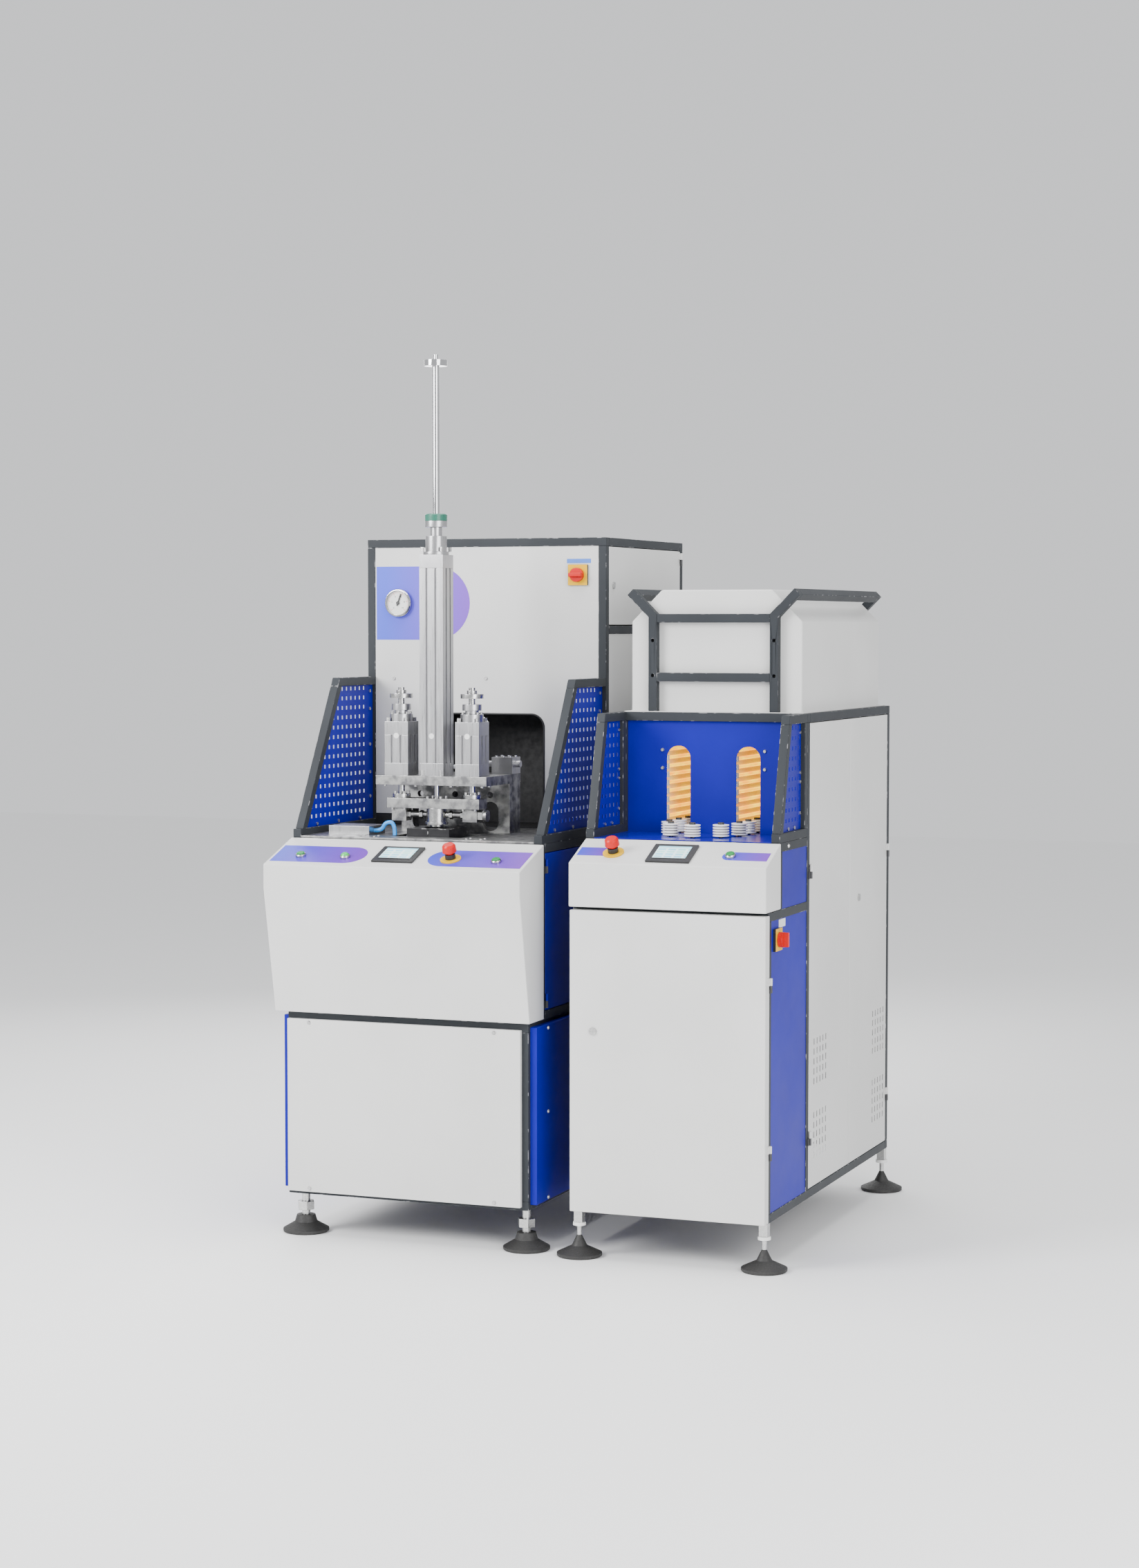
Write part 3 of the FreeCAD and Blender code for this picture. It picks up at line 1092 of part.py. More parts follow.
def heaters():
    """Two banks of ten quartz lamps along the lanes, their holders, and the mirror sheets."""
    lamps, holders, mirrors = [], [], []
    for lane in ("lane_left", "lane_right"):
        x = f"{lane} - lamp_aside"
        for step in range(10):
            z = f"lamp_low + {step} * lamp_rise"
            lamps.append(rod(x, "lamp_front", z, "lamp_tube_radius", "lamp_back - lamp_front", "y"))
            for y in ("lamp_front - holder", "lamp_back"):
                holders.append(block(f"{x} - holder / 2", y, f"{z} - holder / 2", "holder",
                                     "holder", "holder"))
        for side in (f"{x} - holder / 2 - plate", f"{lane} + mirror_aside"):
            mirrors.append(span((side, f"{side} + plate"),
                                ("lamp_front - holder", "lamp_back + holder"),
                                ("oven_deck_line + plate", "mirror_high")))
    node("heater_bank", *lamps, *holders, *mirrors)


def exhaust():
    """The exhaust hood with its foot flange, and the tube rack that stands round it."""
    def section(inset, low):
        bevel = f"cowl_bevel - {inset} * 0.41"
        return [(f"cowl_left + {inset}", low), (f"cowl_right - {inset}", low),
                (f"cowl_right - {inset}", f"cowl_high - {inset} - ({bevel})"),
                (f"cowl_right - {inset} - ({bevel})", f"cowl_high - {inset}"),
                (f"cowl_left + {inset} + {bevel}", f"cowl_high - {inset}"),
                (f"cowl_left + {inset}", f"cowl_high - {inset} - ({bevel})")]
    shell = padded("XZ_Plane", section("0", "oven_high"), "cowl_front", "cowl_back - cowl_front")
    core = padded("XZ_Plane", section("plate", "oven_high - 1"), "cowl_front + plate",
                  "cowl_back - cowl_front - 2 * plate")
    flange = span(("cowl_left - flange_out", "cowl_right + flange_out"),
                  ("rack_front - plate", "oven_back"), ("oven_high", "oven_high + plate"))
    node("exhaust_hood", cut(fuse(shell, flange), core))

    low, reach, corner = "oven_high + plate", "rack_reach", "rack_high - rack_notch"
    members = []
    for front in ("rack_front", "oven_back - tube"):
        for edge, side in (("rack_left", "-"), ("rack_right", "+")):
            inward = "+" if side == "-" else "-"
            profile = [(f"{edge} {inward} tube", low), (edge, low), (edge, corner),
                       (f"{edge} {side} {reach}", f"{corner} + {reach}"),
                       (f"{edge} {side} ({reach} - slant)", f"{corner} + {reach} + slant"),
                       (f"{edge} {inward} tube", "rack_high")]
            post = padded("XZ_Plane", profile, front, "tube")
            bores = [rod(f"{edge} {inward} tube / 2", f"{front} - 1", z, "rack_hole_radius",
                         "tube + 2", "y") for z in ("rack_rail + 17", "rack_hole_high")]
            members.append(cut(post, *bores))
        inner = ("rack_left + tube", "rack_right - tube")
        members += tubes(*((inner, (front, f"{front} + tube"), (high, f"{high} + tube"))
                           for high in ("rack_rail", "rack_high - tube")))
    for edge, side in (("rack_left", "-"), ("rack_right", "+")):
        rail = [(f"{edge} {side} {reach}", f"{corner} + {reach}"),
                (f"{edge} {side} ({reach} - slant)", f"{corner} + {reach} + slant"),
                (f"{edge} {side} ({reach} - 2 * slant)", f"{corner} + {reach}"),
                (f"{edge} {side} ({reach} - slant)", f"{corner} + {reach} - slant")]
        members.append(padded("XZ_Plane", rail, "rack_front + tube",
                              "oven_back - 2 * tube - rack_front"))
    node("hood_rack", *members)


def finish():
    """Recompute, check every object and sub-part, and write one file for each sub-part."""
    doc.recompute()
    for item in doc.Objects:
        if "Invalid" in item.State or "Error" in item.State:
            raise RuntimeError(f"{item.Name} ({item.Label}) failed: {item.State}")
    whole = FreeCAD.BoundBox()
    os.makedirs("parts", exist_ok=True)
    for piece in parts:
        shape = piece.Shape
        if shape.isNull() or not shape.isValid() or not shape.Solids:
            raise RuntimeError(f"{piece.Label} has no sound shape")
        whole.add(shape.BoundBox)
        shape.exportStep(f"parts/{piece.Label}.step")
        print(f"{piece.Label:24s} {len(shape.Solids):3d} solids {shape.Volume / 1000:9.1f} cm3")
    print(f"{len(parts)} sub-parts, box {whole}")


press_frames()
press_panels()
press_hood()
guard_sheets()
doors()
head_plates()
cylinders()
nozzle_carriage()
mould()
valves_and_hoses()
console_controls()
main_switches()
gauge()
feet()
screws()
oven_frame()
oven_hood()
oven_panels()
oven_inside()
mandrels()
heaters()
exhaust()
finish()
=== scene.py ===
"""A two-cabinet stretch blow moulding machine: the blowing press and the preform oven.

The sections follow the machine as it is put together: frames, covers, doors, blow head, mould,
controls, feet and the heating tunnel. Lengths are millimetres from the press's front left floor
corner, and mm() turns them into metres in the machine's own frame.
"""
import json
import math

import bmesh
import bpy
from mathutils import Matrix, Vector


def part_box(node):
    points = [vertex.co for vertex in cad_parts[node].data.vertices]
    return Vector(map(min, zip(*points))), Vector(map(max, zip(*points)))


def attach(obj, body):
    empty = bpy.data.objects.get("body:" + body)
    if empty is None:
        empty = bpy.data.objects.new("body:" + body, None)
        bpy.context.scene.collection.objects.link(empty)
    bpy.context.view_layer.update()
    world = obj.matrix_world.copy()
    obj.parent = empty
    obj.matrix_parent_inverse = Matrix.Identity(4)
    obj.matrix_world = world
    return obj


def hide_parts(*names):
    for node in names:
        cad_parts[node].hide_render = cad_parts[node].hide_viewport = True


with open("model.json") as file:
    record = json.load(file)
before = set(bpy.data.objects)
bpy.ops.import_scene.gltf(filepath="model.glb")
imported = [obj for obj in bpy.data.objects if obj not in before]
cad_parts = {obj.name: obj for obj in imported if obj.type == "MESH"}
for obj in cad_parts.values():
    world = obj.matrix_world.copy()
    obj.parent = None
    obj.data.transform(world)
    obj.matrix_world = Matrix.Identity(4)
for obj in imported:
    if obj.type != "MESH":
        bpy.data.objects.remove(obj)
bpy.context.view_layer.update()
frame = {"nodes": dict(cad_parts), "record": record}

# ---------------------------------------------------------------- studio
# A pale floor, a soft key from the left, a fill from the right and a high top light. The camera
# stands to the right of the machine at chest height, turned back towards it.

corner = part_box("press_base_frame")[0]


def mm(x, y, z):
    """A place in metres from millimetres across, back and up from the press's front left corner."""
    return Vector((corner[0] + x / 1000, corner[1] + y / 1000, z / 1000))


camera = bpy.data.objects.new("camera", bpy.data.cameras.new("camera"))
camera.data.lens = 66.56
camera.location = mm(3775.6, -7482.2, 1767.7)
camera.rotation_euler = (math.radians(90 - 3.15), 0, math.radians(21.2))
bpy.context.scene.collection.objects.link(camera)
bpy.context.scene.camera = camera

for label, spot, aim, size, watts in (
        ("key", (-2600, -3800, 3600), (500, 300, 1100), 2.6, 430),
        ("fill", (4800, -3400, 2300), (900, 300, 1000), 3.0, 235),
        ("top", (700, 200, 4600), (700, 500, 1000), 3.2, 150),
        ("rear", (-1500, 4200, 3000), (700, 900, 1200), 2.6, 90)):
    lamp = bpy.data.objects.new(label, bpy.data.lights.new(label, "AREA"))
    lamp.data.size = size
    lamp.data.energy = watts
    lamp.location = mm(*spot)
    lamp.rotation_euler = (mm(*aim) - mm(*spot)).to_track_quat("-Z", "Y").to_euler()
    bpy.context.scene.collection.objects.link(lamp)

sky = bpy.data.worlds.new("studio")
sky.use_nodes = True
sky.node_tree.nodes["Background"].inputs["Color"].default_value = (0.97, 0.98, 1.0, 1)
sky.node_tree.nodes["Background"].inputs["Strength"].default_value = 0.95
bpy.context.scene.world = sky


def add(tree, kind, values=None, **settings):
    """A node in a tree, with its settings, and each input given a value or a socket to follow."""
    node = tree.nodes.new(kind)
    for key, value in settings.items():
        setattr(node, key, value)
    for key, value in (values or {}).items():
        if isinstance(value, bpy.types.NodeSocket):
            tree.links.new(value, node.inputs[key])
        else:
            node.inputs[key].default_value = value
    return node


def noise(tree, scale, detail=4, stretch=(1, 1, 1)):
    """Soft random patches, stretched along an axis where a finish has a direction."""
    place = add(tree, "ShaderNodeTexCoord").outputs["Object"]
    place = add(tree, "ShaderNodeMapping", {"Vector": place, "Scale": stretch}).outputs[0]
    return add(tree, "ShaderNodeTexNoise", {"Vector": place, "Scale": scale, "Detail": detail}).outputs[0]


def between(tree, value, low, high, start=0.0, end=1.0):
    """A value's stretch from low to high, spread over start to end and held there outside it."""
    return add(tree, "ShaderNodeMapRange", {"Value": value, "From Min": low, "From Max": high,
                                            "To Min": start, "To Max": end}).outputs[0]


def mixed(tree, factor, first, second):
    """Two colours mixed by a factor."""
    return add(tree, "ShaderNodeMix", {0: factor, 6: first, 7: second}, data_type="RGBA").outputs[2]


def bumped(tree, height, strength, distance):
    """A surface normal pushed by a height, in metres."""
    return add(tree, "ShaderNodeBump", {"Height": height, "Strength": strength,
                                        "Distance": distance}).outputs[0]


def finish_named(name, **plain):
    """A new material with its tree and shader, and the shader's plain values set."""
    material = bpy.data.materials.new(name)
    material.use_nodes = True
    shader = material.node_tree.nodes["Principled BSDF"]
    for key, value in plain.items():
        shader.inputs[key.replace("_", " ").title().replace("Ior", "IOR")].default_value = value
    return material, material.node_tree, shader


def feed(tree, shader, **sockets):
    """The shader's inputs that change over the surface."""
    for key, socket in sockets.items():
        tree.links.new(socket, shader.inputs[key.replace("_", " ").title()])


def mottled(name, shades, patches, gloss, grain, marks=None, **plain):
    """A finish that drifts between two shades and between two roughnesses.

    patches and grain say how fine the drifts are, and marks is a ripple: its noise, strength and
    depth in metres."""
    material, tree, shader = finish_named(name, **plain)
    deep, pale = shades
    feed(tree, shader, base_color=mixed(tree, noise(tree, *patches), (*deep, 1), (*pale, 1)),
         roughness=between(tree, noise(tree, *grain), 0.3, 0.7, *gloss))
    if marks:
        ripple, strength, distance = marks
        feed(tree, shader, normal=bumped(tree, noise(tree, *ripple), strength, distance))
    return material


def show(name, mesh, *materials):
    """A mesh as an object of the scene, dressed in its materials."""
    piece = bpy.data.objects.new(name, mesh)
    bpy.context.scene.collection.objects.link(piece)
    for material in materials:
        mesh.materials.append(material)
    return piece


floor_paint, tree, shader = finish_named("floor_paint", roughness=0.6)
feed(tree, shader, base_color=mixed(tree, noise(tree, 3), (0.93, 0.93, 0.93, 1), (0.95, 0.95, 0.945, 1)))
floor = bpy.data.meshes.new("floor")
floor.from_pydata([mm(x, y, 0) for x, y in ((-15e3, -15e3), (16e3, -15e3), (16e3, 16e3), (-15e3, 16e3))],
                  [], [(0, 1, 2, 3)])
show("floor", floor, floor_paint)

# ---------------------------------------------------------------- welded frames
# Both cabinets stand on frames of 25 mm square steel tube, welded and then powder coated in
# textured anthracite. The coat has rubbed through to bright steel along the corners.

record = frame["record"]
body_of = {node: body for body, held in record["behaviour"]["bodies"].items() for node in held}


def solids_of(node):
    """A CAD node's separate solids, each a list of corners and a list of faces."""
    mesh = frame["nodes"][node].data
    weld, corners, triangles = {}, [], []
    for face in mesh.polygons:
        triangle = []
        for index in face.vertices:
            key = tuple(round(value * 1e5) for value in mesh.vertices[index].co)
            if key not in weld:
                weld[key] = len(corners)
                corners.append(mesh.vertices[index].co.copy())
            triangle.append(weld[key])
        if len(set(triangle)) == 3:
            triangles.append(triangle)
    edges = {}
    for number, (a, b, c) in enumerate(triangles):
        for pair in ((a, b), (b, c), (c, a)):
            edges.setdefault(frozenset(pair), []).append(number)
    group = list(range(len(triangles)))

    def root(number):
        while group[number] != number:
            group[number] = group[group[number]]
            number = group[number]
        return number
    # where two solids touch, four triangles share an edge: each solid's come one after the other
    for sharing in edges.values():
        for one, other in zip(sharing[::2], sharing[1::2]):
            group[root(one)] = root(other)
    solids = {}
    for number, triangle in enumerate(triangles):
        solids.setdefault(root(number), []).append(triangle)
    made = []
    for faces in solids.values():
        volume = sum(corners[a].dot(corners[b].cross(corners[c])) for a, b, c in faces)
        if volume > 0:
            used = sorted({index for face in faces for index in face})
            new = {index: number for number, index in enumerate(used)}
            made.append(([corners[index] for index in used],
                         [[new[index] for index in face] for face in faces]))
    return made


def round_edges(shape, width, steps, layer):
    """Bevel the outer edges whose faces are wide enough, and mark the new faces on a layer."""
    def wide(edge):
        if len(edge.link_faces) != 2 or edge.calc_length() < 1e-7 or not edge.is_convex:
            return False
        room = min(face.calc_area() for face in edge.link_faces) / edge.calc_length()
        return room > 3 * width and edge.calc_face_angle() > math.radians(28)
    chosen = [edge for edge in shape.edges if wide(edge)]
    if chosen:
        made = bmesh.ops.bevel(shape, geom=chosen, offset=width, segments=steps, profile=0.5,
                               affect="EDGES", clamp_overlap=False)
        for face in made["faces"]:
            face[layer] = 1.0


def softened(node, width, fine=0.0003, steps=3, name=None, pick=None, paint=None):
    """A stand-in for a CAD node with rounded edges, worn where the layer "edge" is 1.

    pick(low, high) chooses solids by their corners in millimetres, and paint(centre, normal)
    gives a face's material number."""
    shape = bmesh.new()
    layer = shape.faces.layers.float.new("edge")
    for corners, faces in solids_of(node):
        low, high = (Vector(end(point[axis] for point in corners) for axis in range(3))
                     for end in (min, max))
        if pick and not pick(low, high):
            continue
        piece = bmesh.new()
        own = piece.faces.layers.float.new("edge")
        points = [piece.verts.new(point) for point in corners]
        for face in faces:
            if not piece.faces.get([points[index] for index in face]):
                piece.faces.new([points[index] for index in face])
        bmesh.ops.dissolve_limit(piece, angle_limit=math.radians(0.6), verts=piece.verts,
                                 edges=piece.edges)
        if width:
            round_edges(piece, width / 1000, steps, own)
        if fine:
            round_edges(piece, fine, 1, own)
        part = bpy.data.meshes.new("part")
        piece.to_mesh(part)
        shape.from_mesh(part)
        bpy.data.meshes.remove(part)
        piece.free()
    if paint:
        for face in shape.faces:
            face.material_index = paint(face.calc_center_median(), face.normal)
    mesh = bpy.data.meshes.new(name or node)
    bmesh.ops.triangulate(shape, faces=[face for face in shape.faces if len(face.verts) > 4])
    shape.to_mesh(mesh)
    shape.free()
    mesh.shade_smooth()
    mesh.set_sharp_from_angle(angle=math.radians(32))
    return mesh


def stand_in(node, width, *materials, **options):
    """A softened copy of a CAD node that replaces it, on the same body."""
    piece = show(f"{node}_skin", softened(node, width, **options), *materials)
    flatten = piece.modifiers.new("flatten", "WEIGHTED_NORMAL")
    flatten.keep_sharp = True
    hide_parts(node)
    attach(piece, body_of[node])
    return piece


def group_named(name, inputs, outputs):
    """An empty shader group with named sockets, and the nodes that hold them."""
    group = bpy.data.node_groups.new(name, "ShaderNodeTree")
    for way, sockets in (("INPUT", inputs), ("OUTPUT", outputs)):
        for label, kind in sockets.items():
            group.interface.new_socket(name=label, in_out=way, socket_type=f"NodeSocket{kind}")
    return group, group.nodes.new("NodeGroupInput").outputs, group.nodes.new("NodeGroupOutput").inputs


# bare metal where a rounded edge has lost its coat, in broken patches
wear, given, result = group_named("rubbed_edges", {"Reach": "Float", "Patch Scale": "Float"},
                                  {"Mask": "Float"})
spot = add(wear, "ShaderNodeTexCoord").outputs["Object"]
patches = add(wear, "ShaderNodeTexNoise", {"Vector": spot, "Scale": given["Patch Scale"], "Detail": 6.0})
edge = add(wear, "ShaderNodeAttribute", attribute_name="edge").outputs["Fac"]
limit = add(wear, "ShaderNodeMath", {0: 1.0, 1: given["Reach"]}, operation="SUBTRACT").outputs[0]
above = add(wear, "ShaderNodeMath", {0: patches.outputs[0], 1: limit}, operation="SUBTRACT").outputs[0]
sharp = add(wear, "ShaderNodeMath", {0: above, 1: 14.0}, operation="MULTIPLY", use_clamp=True).outputs[0]
wear.links.new(add(wear, "ShaderNodeMath", {0: sharp, 1: edge}, operation="MULTIPLY").outputs[0],
               result["Mask"])

# the fine ripple of a baked powder coat, and the faint change of shade across a large sheet
coat, given, result = group_named("powder_coat", {"Grain Scale": "Float"},
                                  {"Height": "Float", "Shade": "Float"})
spot = add(coat, "ShaderNodeTexCoord").outputs["Object"]
grain = add(coat, "ShaderNodeTexNoise", {"Vector": spot, "Scale": given["Grain Scale"], "Detail": 3.0})
cloud = add(coat, "ShaderNodeTexNoise", {"Vector": spot, "Scale": 2.3, "Detail": 5.0})
coat.links.new(grain.outputs[0], result["Height"])
coat.links.new(cloud.outputs[0], result["Shade"])


def powder_coated(name, dark, pale, roughness, grain_scale, depth, reach, patch_scale=60.0, **plain):
    """A powder-coated finish between two shades, rubbed to bare steel along its edges."""
    material, tree, shader = finish_named(name, specular_ior_level=0.16, **plain)
    coated = add(tree, "ShaderNodeGroup", {}, node_tree=coat)
    coated.inputs["Grain Scale"].default_value = grain_scale
    worn = add(tree, "ShaderNodeGroup", {}, node_tree=wear)
    worn.inputs["Reach"].default_value = reach
    worn.inputs["Patch Scale"].default_value = patch_scale
    shade = between(tree, coated.outputs["Shade"], 0.35, 0.65)
    paint = mixed(tree, shade, (*dark, 1), (*pale, 1))
    mask = worn.outputs["Mask"]
    feed(tree, shader, base_color=mixed(tree, mask, paint, (0.30, 0.30, 0.31, 1)), metallic=mask,
         roughness=between(tree, noise(tree, 9, 6), 0.3, 0.7, roughness - 0.02, roughness + 0.03),
         normal=bumped(tree, coated.outputs["Height"], 0.5, depth))
    return material


anthracite = powder_coated("anthracite_texture", (0.024, 0.027, 0.031), (0.034, 0.038, 0.043), 0.5,
                           700, 0.0003, 0.43, 45.0)
for node in ("press_base_frame", "press_upper_frame", "oven_frame", "hood_rack"):
    stand_in(node, 1.6, anthracite, steps=2)

# ---------------------------------------------------------------- pale covers
# Folded 2 mm sheet steel, bent to trays and hoods and powder coated a light warm grey. The folds
# are round, and the large sheets show a faint ripple.

pale_grey = powder_coated("pale_grey_coat", (0.60, 0.60, 0.59), (0.65, 0.65, 0.64), 0.36, 520,
                          0.00012, 0.1)
for node, fold in (("press_console_hood", 3), ("oven_console_hood", 3),
                   ("tower_front_panel", 0), ("exhaust_hood", 5), ("oven_pale_panels", 0),
                   ("tower_side_door", 1.8), ("oven_front_door", 2.2),
                   ("oven_side_door_front", 1.8), ("oven_side_door_rear", 1.8)):
    stand_in(node, fold, pale_grey)

# painted shade: the box behind the tower's opening is painted near-black, darker than any black part, for the
# shade inside the recess
recess_shade = mottled("recess_painted_shade", ((0.004, 0.004, 0.005), (0.010, 0.010, 0.011)), (12, 5),
                 (0.55, 0.75), (90, 4))


def cover_paint(point, normal):
    """The box behind the tower's opening is painted near-black as painted shade of the recess; the other
    sheets are pale.
    """
    low, high = mm(177, 597.9, 1154), mm(563, 807, 1501)
    return 1 if all(low[axis] < point[axis] < high[axis] for axis in range(3)) else 0


stand_in("press_cover_sheets", 2.2, pale_grey, recess_shade, paint=cover_paint)

# ---------------------------------------------------------------- blue covers
# The press's low side trays, its side door, the pierced guards and the sheets round the oven's
# front bay, all coated in one deep ultramarine.

ultramarine = powder_coated("ultramarine_coat", (0.005, 0.003, 0.24), (0.006, 0.005, 0.32), 0.42, 480,
                            0.00015, 0.12)
gloss_blue = powder_coated("gloss_blue_coat", (0.005, 0.004, 0.26), (0.006, 0.007, 0.34), 0.18, 300,
                           0.00008, 0.1)
for node, fold, finish in (("press_side_panels", 2.2, ultramarine), ("press_side_door", 1.8, ultramarine),
                           ("guard_sheets", 0, ultramarine), ("oven_blue_panels", 0, ultramarine),
                           ("oven_inner_wall", 0, ultramarine), ("oven_deck", 0, gloss_blue)):
    stand_in(node, fold, finish, fine=0 if node == "guard_sheets" else 0.0003)

# ---------------------------------------------------------------- hinges, locks and screws
# Zinc-plated lift-off hinges, quarter-turn cam locks with slotted round heads, and the button-head
# screws that hold the covers.

zinc = mottled("zinc_plate", ((0.46, 0.46, 0.47), (0.66, 0.66, 0.64)), (120, 5), (0.22, 0.42), (300, 3),
               metallic=1.0)
for node in ("tower_door_lock", "oven_front_lock", "oven_side_lock", "panel_screws"):
    stand_in(node, 0.6, zinc, steps=2)

dark_zinc = mottled("dark_hinge_coat", ((0.030, 0.031, 0.034), (0.05, 0.05, 0.054)), (90, 5), (0.35, 0.5),
                    (300, 3))
stand_in("hinge_posts", 0.6, dark_zinc, steps=2)

# one screw or bolt head on every point: a disc or a hexagon with a sunk socket
fixing = bpy.data.node_groups.new("fixing_heads", "GeometryNodeTree")
for label, kind in (("Points", "Geometry"), ("Head Radius", "Float"), ("Head Height", "Float"),
                    ("Sides", "Int"), ("Socket Share", "Float"), ("Direction", "Vector"),
                    ("Finish", "Material")):
    fixing.interface.new_socket(name=label, in_out="INPUT", socket_type=f"NodeSocket{kind}")
fixing.interface.new_socket(name="Heads", in_out="OUTPUT", socket_type="NodeSocketGeometry")
given = fixing.nodes.new("NodeGroupInput").outputs
head = add(fixing, "GeometryNodeMeshCylinder", {"Vertices": given["Sides"], "Radius": given["Head Radius"],
                                                "Depth": given["Head Height"]})
normal = add(fixing, "GeometryNodeInputNormal").outputs[0]
facing = add(fixing, "ShaderNodeSeparateXYZ", {0: normal}).outputs[2]
top = add(fixing, "FunctionNodeCompare", {0: facing, 1: 0.9}, operation="GREATER_THAN").outputs[0]
rim = add(fixing, "GeometryNodeExtrudeMesh", {"Mesh": head.outputs["Mesh"], "Selection": top,
                                              "Offset Scale": 0.0}, mode="FACES")
shrunk = add(fixing, "GeometryNodeScaleElements", {"Geometry": rim.outputs["Mesh"],
                                                   "Selection": rim.outputs["Top"],
                                                   "Scale": given["Socket Share"]})
sink = add(fixing, "ShaderNodeMath", {0: given["Head Height"], 1: -0.5}, operation="MULTIPLY").outputs[0]
socket = add(fixing, "GeometryNodeExtrudeMesh", {"Mesh": shrunk.outputs[0], "Selection": rim.outputs["Top"],
                                                 "Offset Scale": sink}, mode="FACES")
half = add(fixing, "ShaderNodeMath", {0: given["Head Height"], 1: 0.5}, operation="MULTIPLY").outputs[0]
lift = add(fixing, "ShaderNodeCombineXYZ", {2: half}).outputs[0]
stood = add(fixing, "GeometryNodeTransform", {"Geometry": socket.outputs["Mesh"], "Translation": lift})
turn = add(fixing, "FunctionNodeAlignRotationToVector", {"Vector": given["Direction"]}, axis="Z")
placed = add(fixing, "GeometryNodeInstanceOnPoints", {"Points": given["Points"], "Instance": stood.outputs[0],
                                                      "Rotation": turn.outputs[0]})
real = add(fixing, "GeometryNodeRealizeInstances", {"Geometry": placed.outputs[0]})
dressed = add(fixing, "GeometryNodeSetMaterial", {"Geometry": real.outputs[0], "Material": given["Finish"]})
fixing.links.new(dressed.outputs[0], fixing.nodes.new("NodeGroupOutput").inputs["Heads"])


def as_mesh(source):
    """The shape that an object evaluates to, as a plain mesh; the object itself is taken away."""
    bpy.context.view_layer.update()
    shape = bpy.data.meshes.new_from_object(source.evaluated_get(bpy.context.evaluated_depsgraph_get()))
    bpy.data.objects.remove(source)
    return shape


def made_by(name, tree, mesh, values):
    """What a Geometry Nodes tree makes of a mesh, as a plain mesh."""
    source = bpy.data.objects.new(name, mesh)
    bpy.context.scene.collection.objects.link(source)
    maker = source.modifiers.new("maker", "NODES")
    maker.node_group = tree
    for item in tree.interface.items_tree:
        if item.in_out == "INPUT" and item.name in values:
            maker[item.identifier] = values[item.name]
    return as_mesh(source)


def fastened(name, spots, direction, radius, height, body="machine", sides=14, socket=0.55, finish=zinc):
    """Screw heads at spots in millimetres, all facing one way, on one body."""
    points = bpy.data.meshes.new(name)
    points.from_pydata([mm(*spot) for spot in spots], [], [])
    heads = made_by(name, fixing, points, {
        "Head Radius": radius / 1000, "Head Height": height / 1000, "Sides": sides,
        "Socket Share": socket, "Direction": direction, "Finish": finish})
    piece = show(name, heads)
    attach(piece, body)
    return piece


# the guards' sheets are screwed to their frames down the rear strip and along the foot
SHEET = 2
PRESS_GUARD = [(572, z) for z in (1243, 1317, 1402, 1511, 1565)] + [(y, 1181) for y in (205, 350, 500)]
OVEN_GUARD = [(346, z) for z in (1238, 1326, 1352, 1465)] + [(y, 1200) for y in (232, 290)]
for side, across, spots in (("press_left", -7.5, PRESS_GUARD), ("press_right", 745.5, PRESS_GUARD),
                            ("oven_left", 889.5, OVEN_GUARD), ("oven_right", 1432.5, OVEN_GUARD)):
    fastened(f"{side}_guard_screws", [(across + SHEET, *spot) for spot in spots], (1, 0, 0), 5, 3)
    fastened(f"{side}_guard_nuts", [(across, *spot) for spot in spots], (-1, 0, 0), 5, 3.5, sides=6)

# ---------------------------------------------------------------- blow head
# Ground steel plates carry three air cylinders of square anodised profile. The outer two lower the
# nozzle bar; the tall one between them drives the chromed stretch rod down through the nozzle.

ground_steel, tree, shader = finish_named("ground_steel", metallic=1.0)
mottle = noise(tree, 38, 8)
feed(tree, shader, base_color=mixed(tree, between(tree, mottle, 0.38, 0.62), (0.15, 0.15, 0.155, 1),
                                    (0.40, 0.40, 0.39, 1)),
     roughness=between(tree, mottle, 0.3, 0.7, 0.52, 0.3),
     normal=bumped(tree, noise(tree, 260, 3, (0.15, 1, 1)), 0.25, 0.0002))
bright_steel = mottled("bright_steel", ((0.36, 0.36, 0.36), (0.58, 0.58, 0.57)), (60, 6), (0.18, 0.34),
                       (90, 4), marks=((900, 2, (1, 1, 0.05)), 0.2, 0.0001), metallic=1.0)
anodised = mottled("anodised_aluminium", ((0.40, 0.40, 0.41), (0.50, 0.50, 0.51)), (30, 3, (1, 1, 0.1)),
                   (0.26, 0.38), (500, 2, (1, 1, 0.03)),
                   marks=((900, 2, (1, 1, 0.02)), 0.15, 0.0001), metallic=1.0)
chrome = mottled("hard_chrome", ((0.48, 0.48, 0.49), (0.58, 0.58, 0.59)), (20, 2), (0.06, 0.14),
                 (200, 3, (1, 1, 0.1)), metallic=1.0)
for node, finish in (("head_frame_plates", ground_steel), ("nozzle_bar", ground_steel),
                     ("nozzle_cylinders", anodised), ("stretch_cylinder", anodised),
                     ("valve_block", anodised), ("nozzle_cylinder_rods", bright_steel),
                     ("blow_nozzle", bright_steel), ("stretch_rod", chrome)):
    stand_in(node, 0.8, finish, steps=2)

polyurethane = mottled("green_polyurethane", ((0.008, 0.11, 0.07), (0.012, 0.15, 0.10)), (40, 4),
                       (0.38, 0.55), (150, 4), coat_weight=0.3)
stand_in("stretch_bumper", 1.5, polyurethane)
stand_in("deck_plate", 0.8, ground_steel)

# socket screws and nuts that hold the head together; each list is across, back and up
LEFT_AXIS, MIDDLE_AXIS, RIGHT_AXIS, HEAD_DEEP = 258, 370, 482, 230
SIDE_AXES = (LEFT_AXIS, RIGHT_AXIS)
SQUARE = [(a, b) for a in (-1, 1) for b in (-1, 1)]
UP, DOWN, RIGHTWARD, LEFTWARD = (0, 0, 1), (0, 0, -1), (1, 0, 0), (-1, 0, 0)


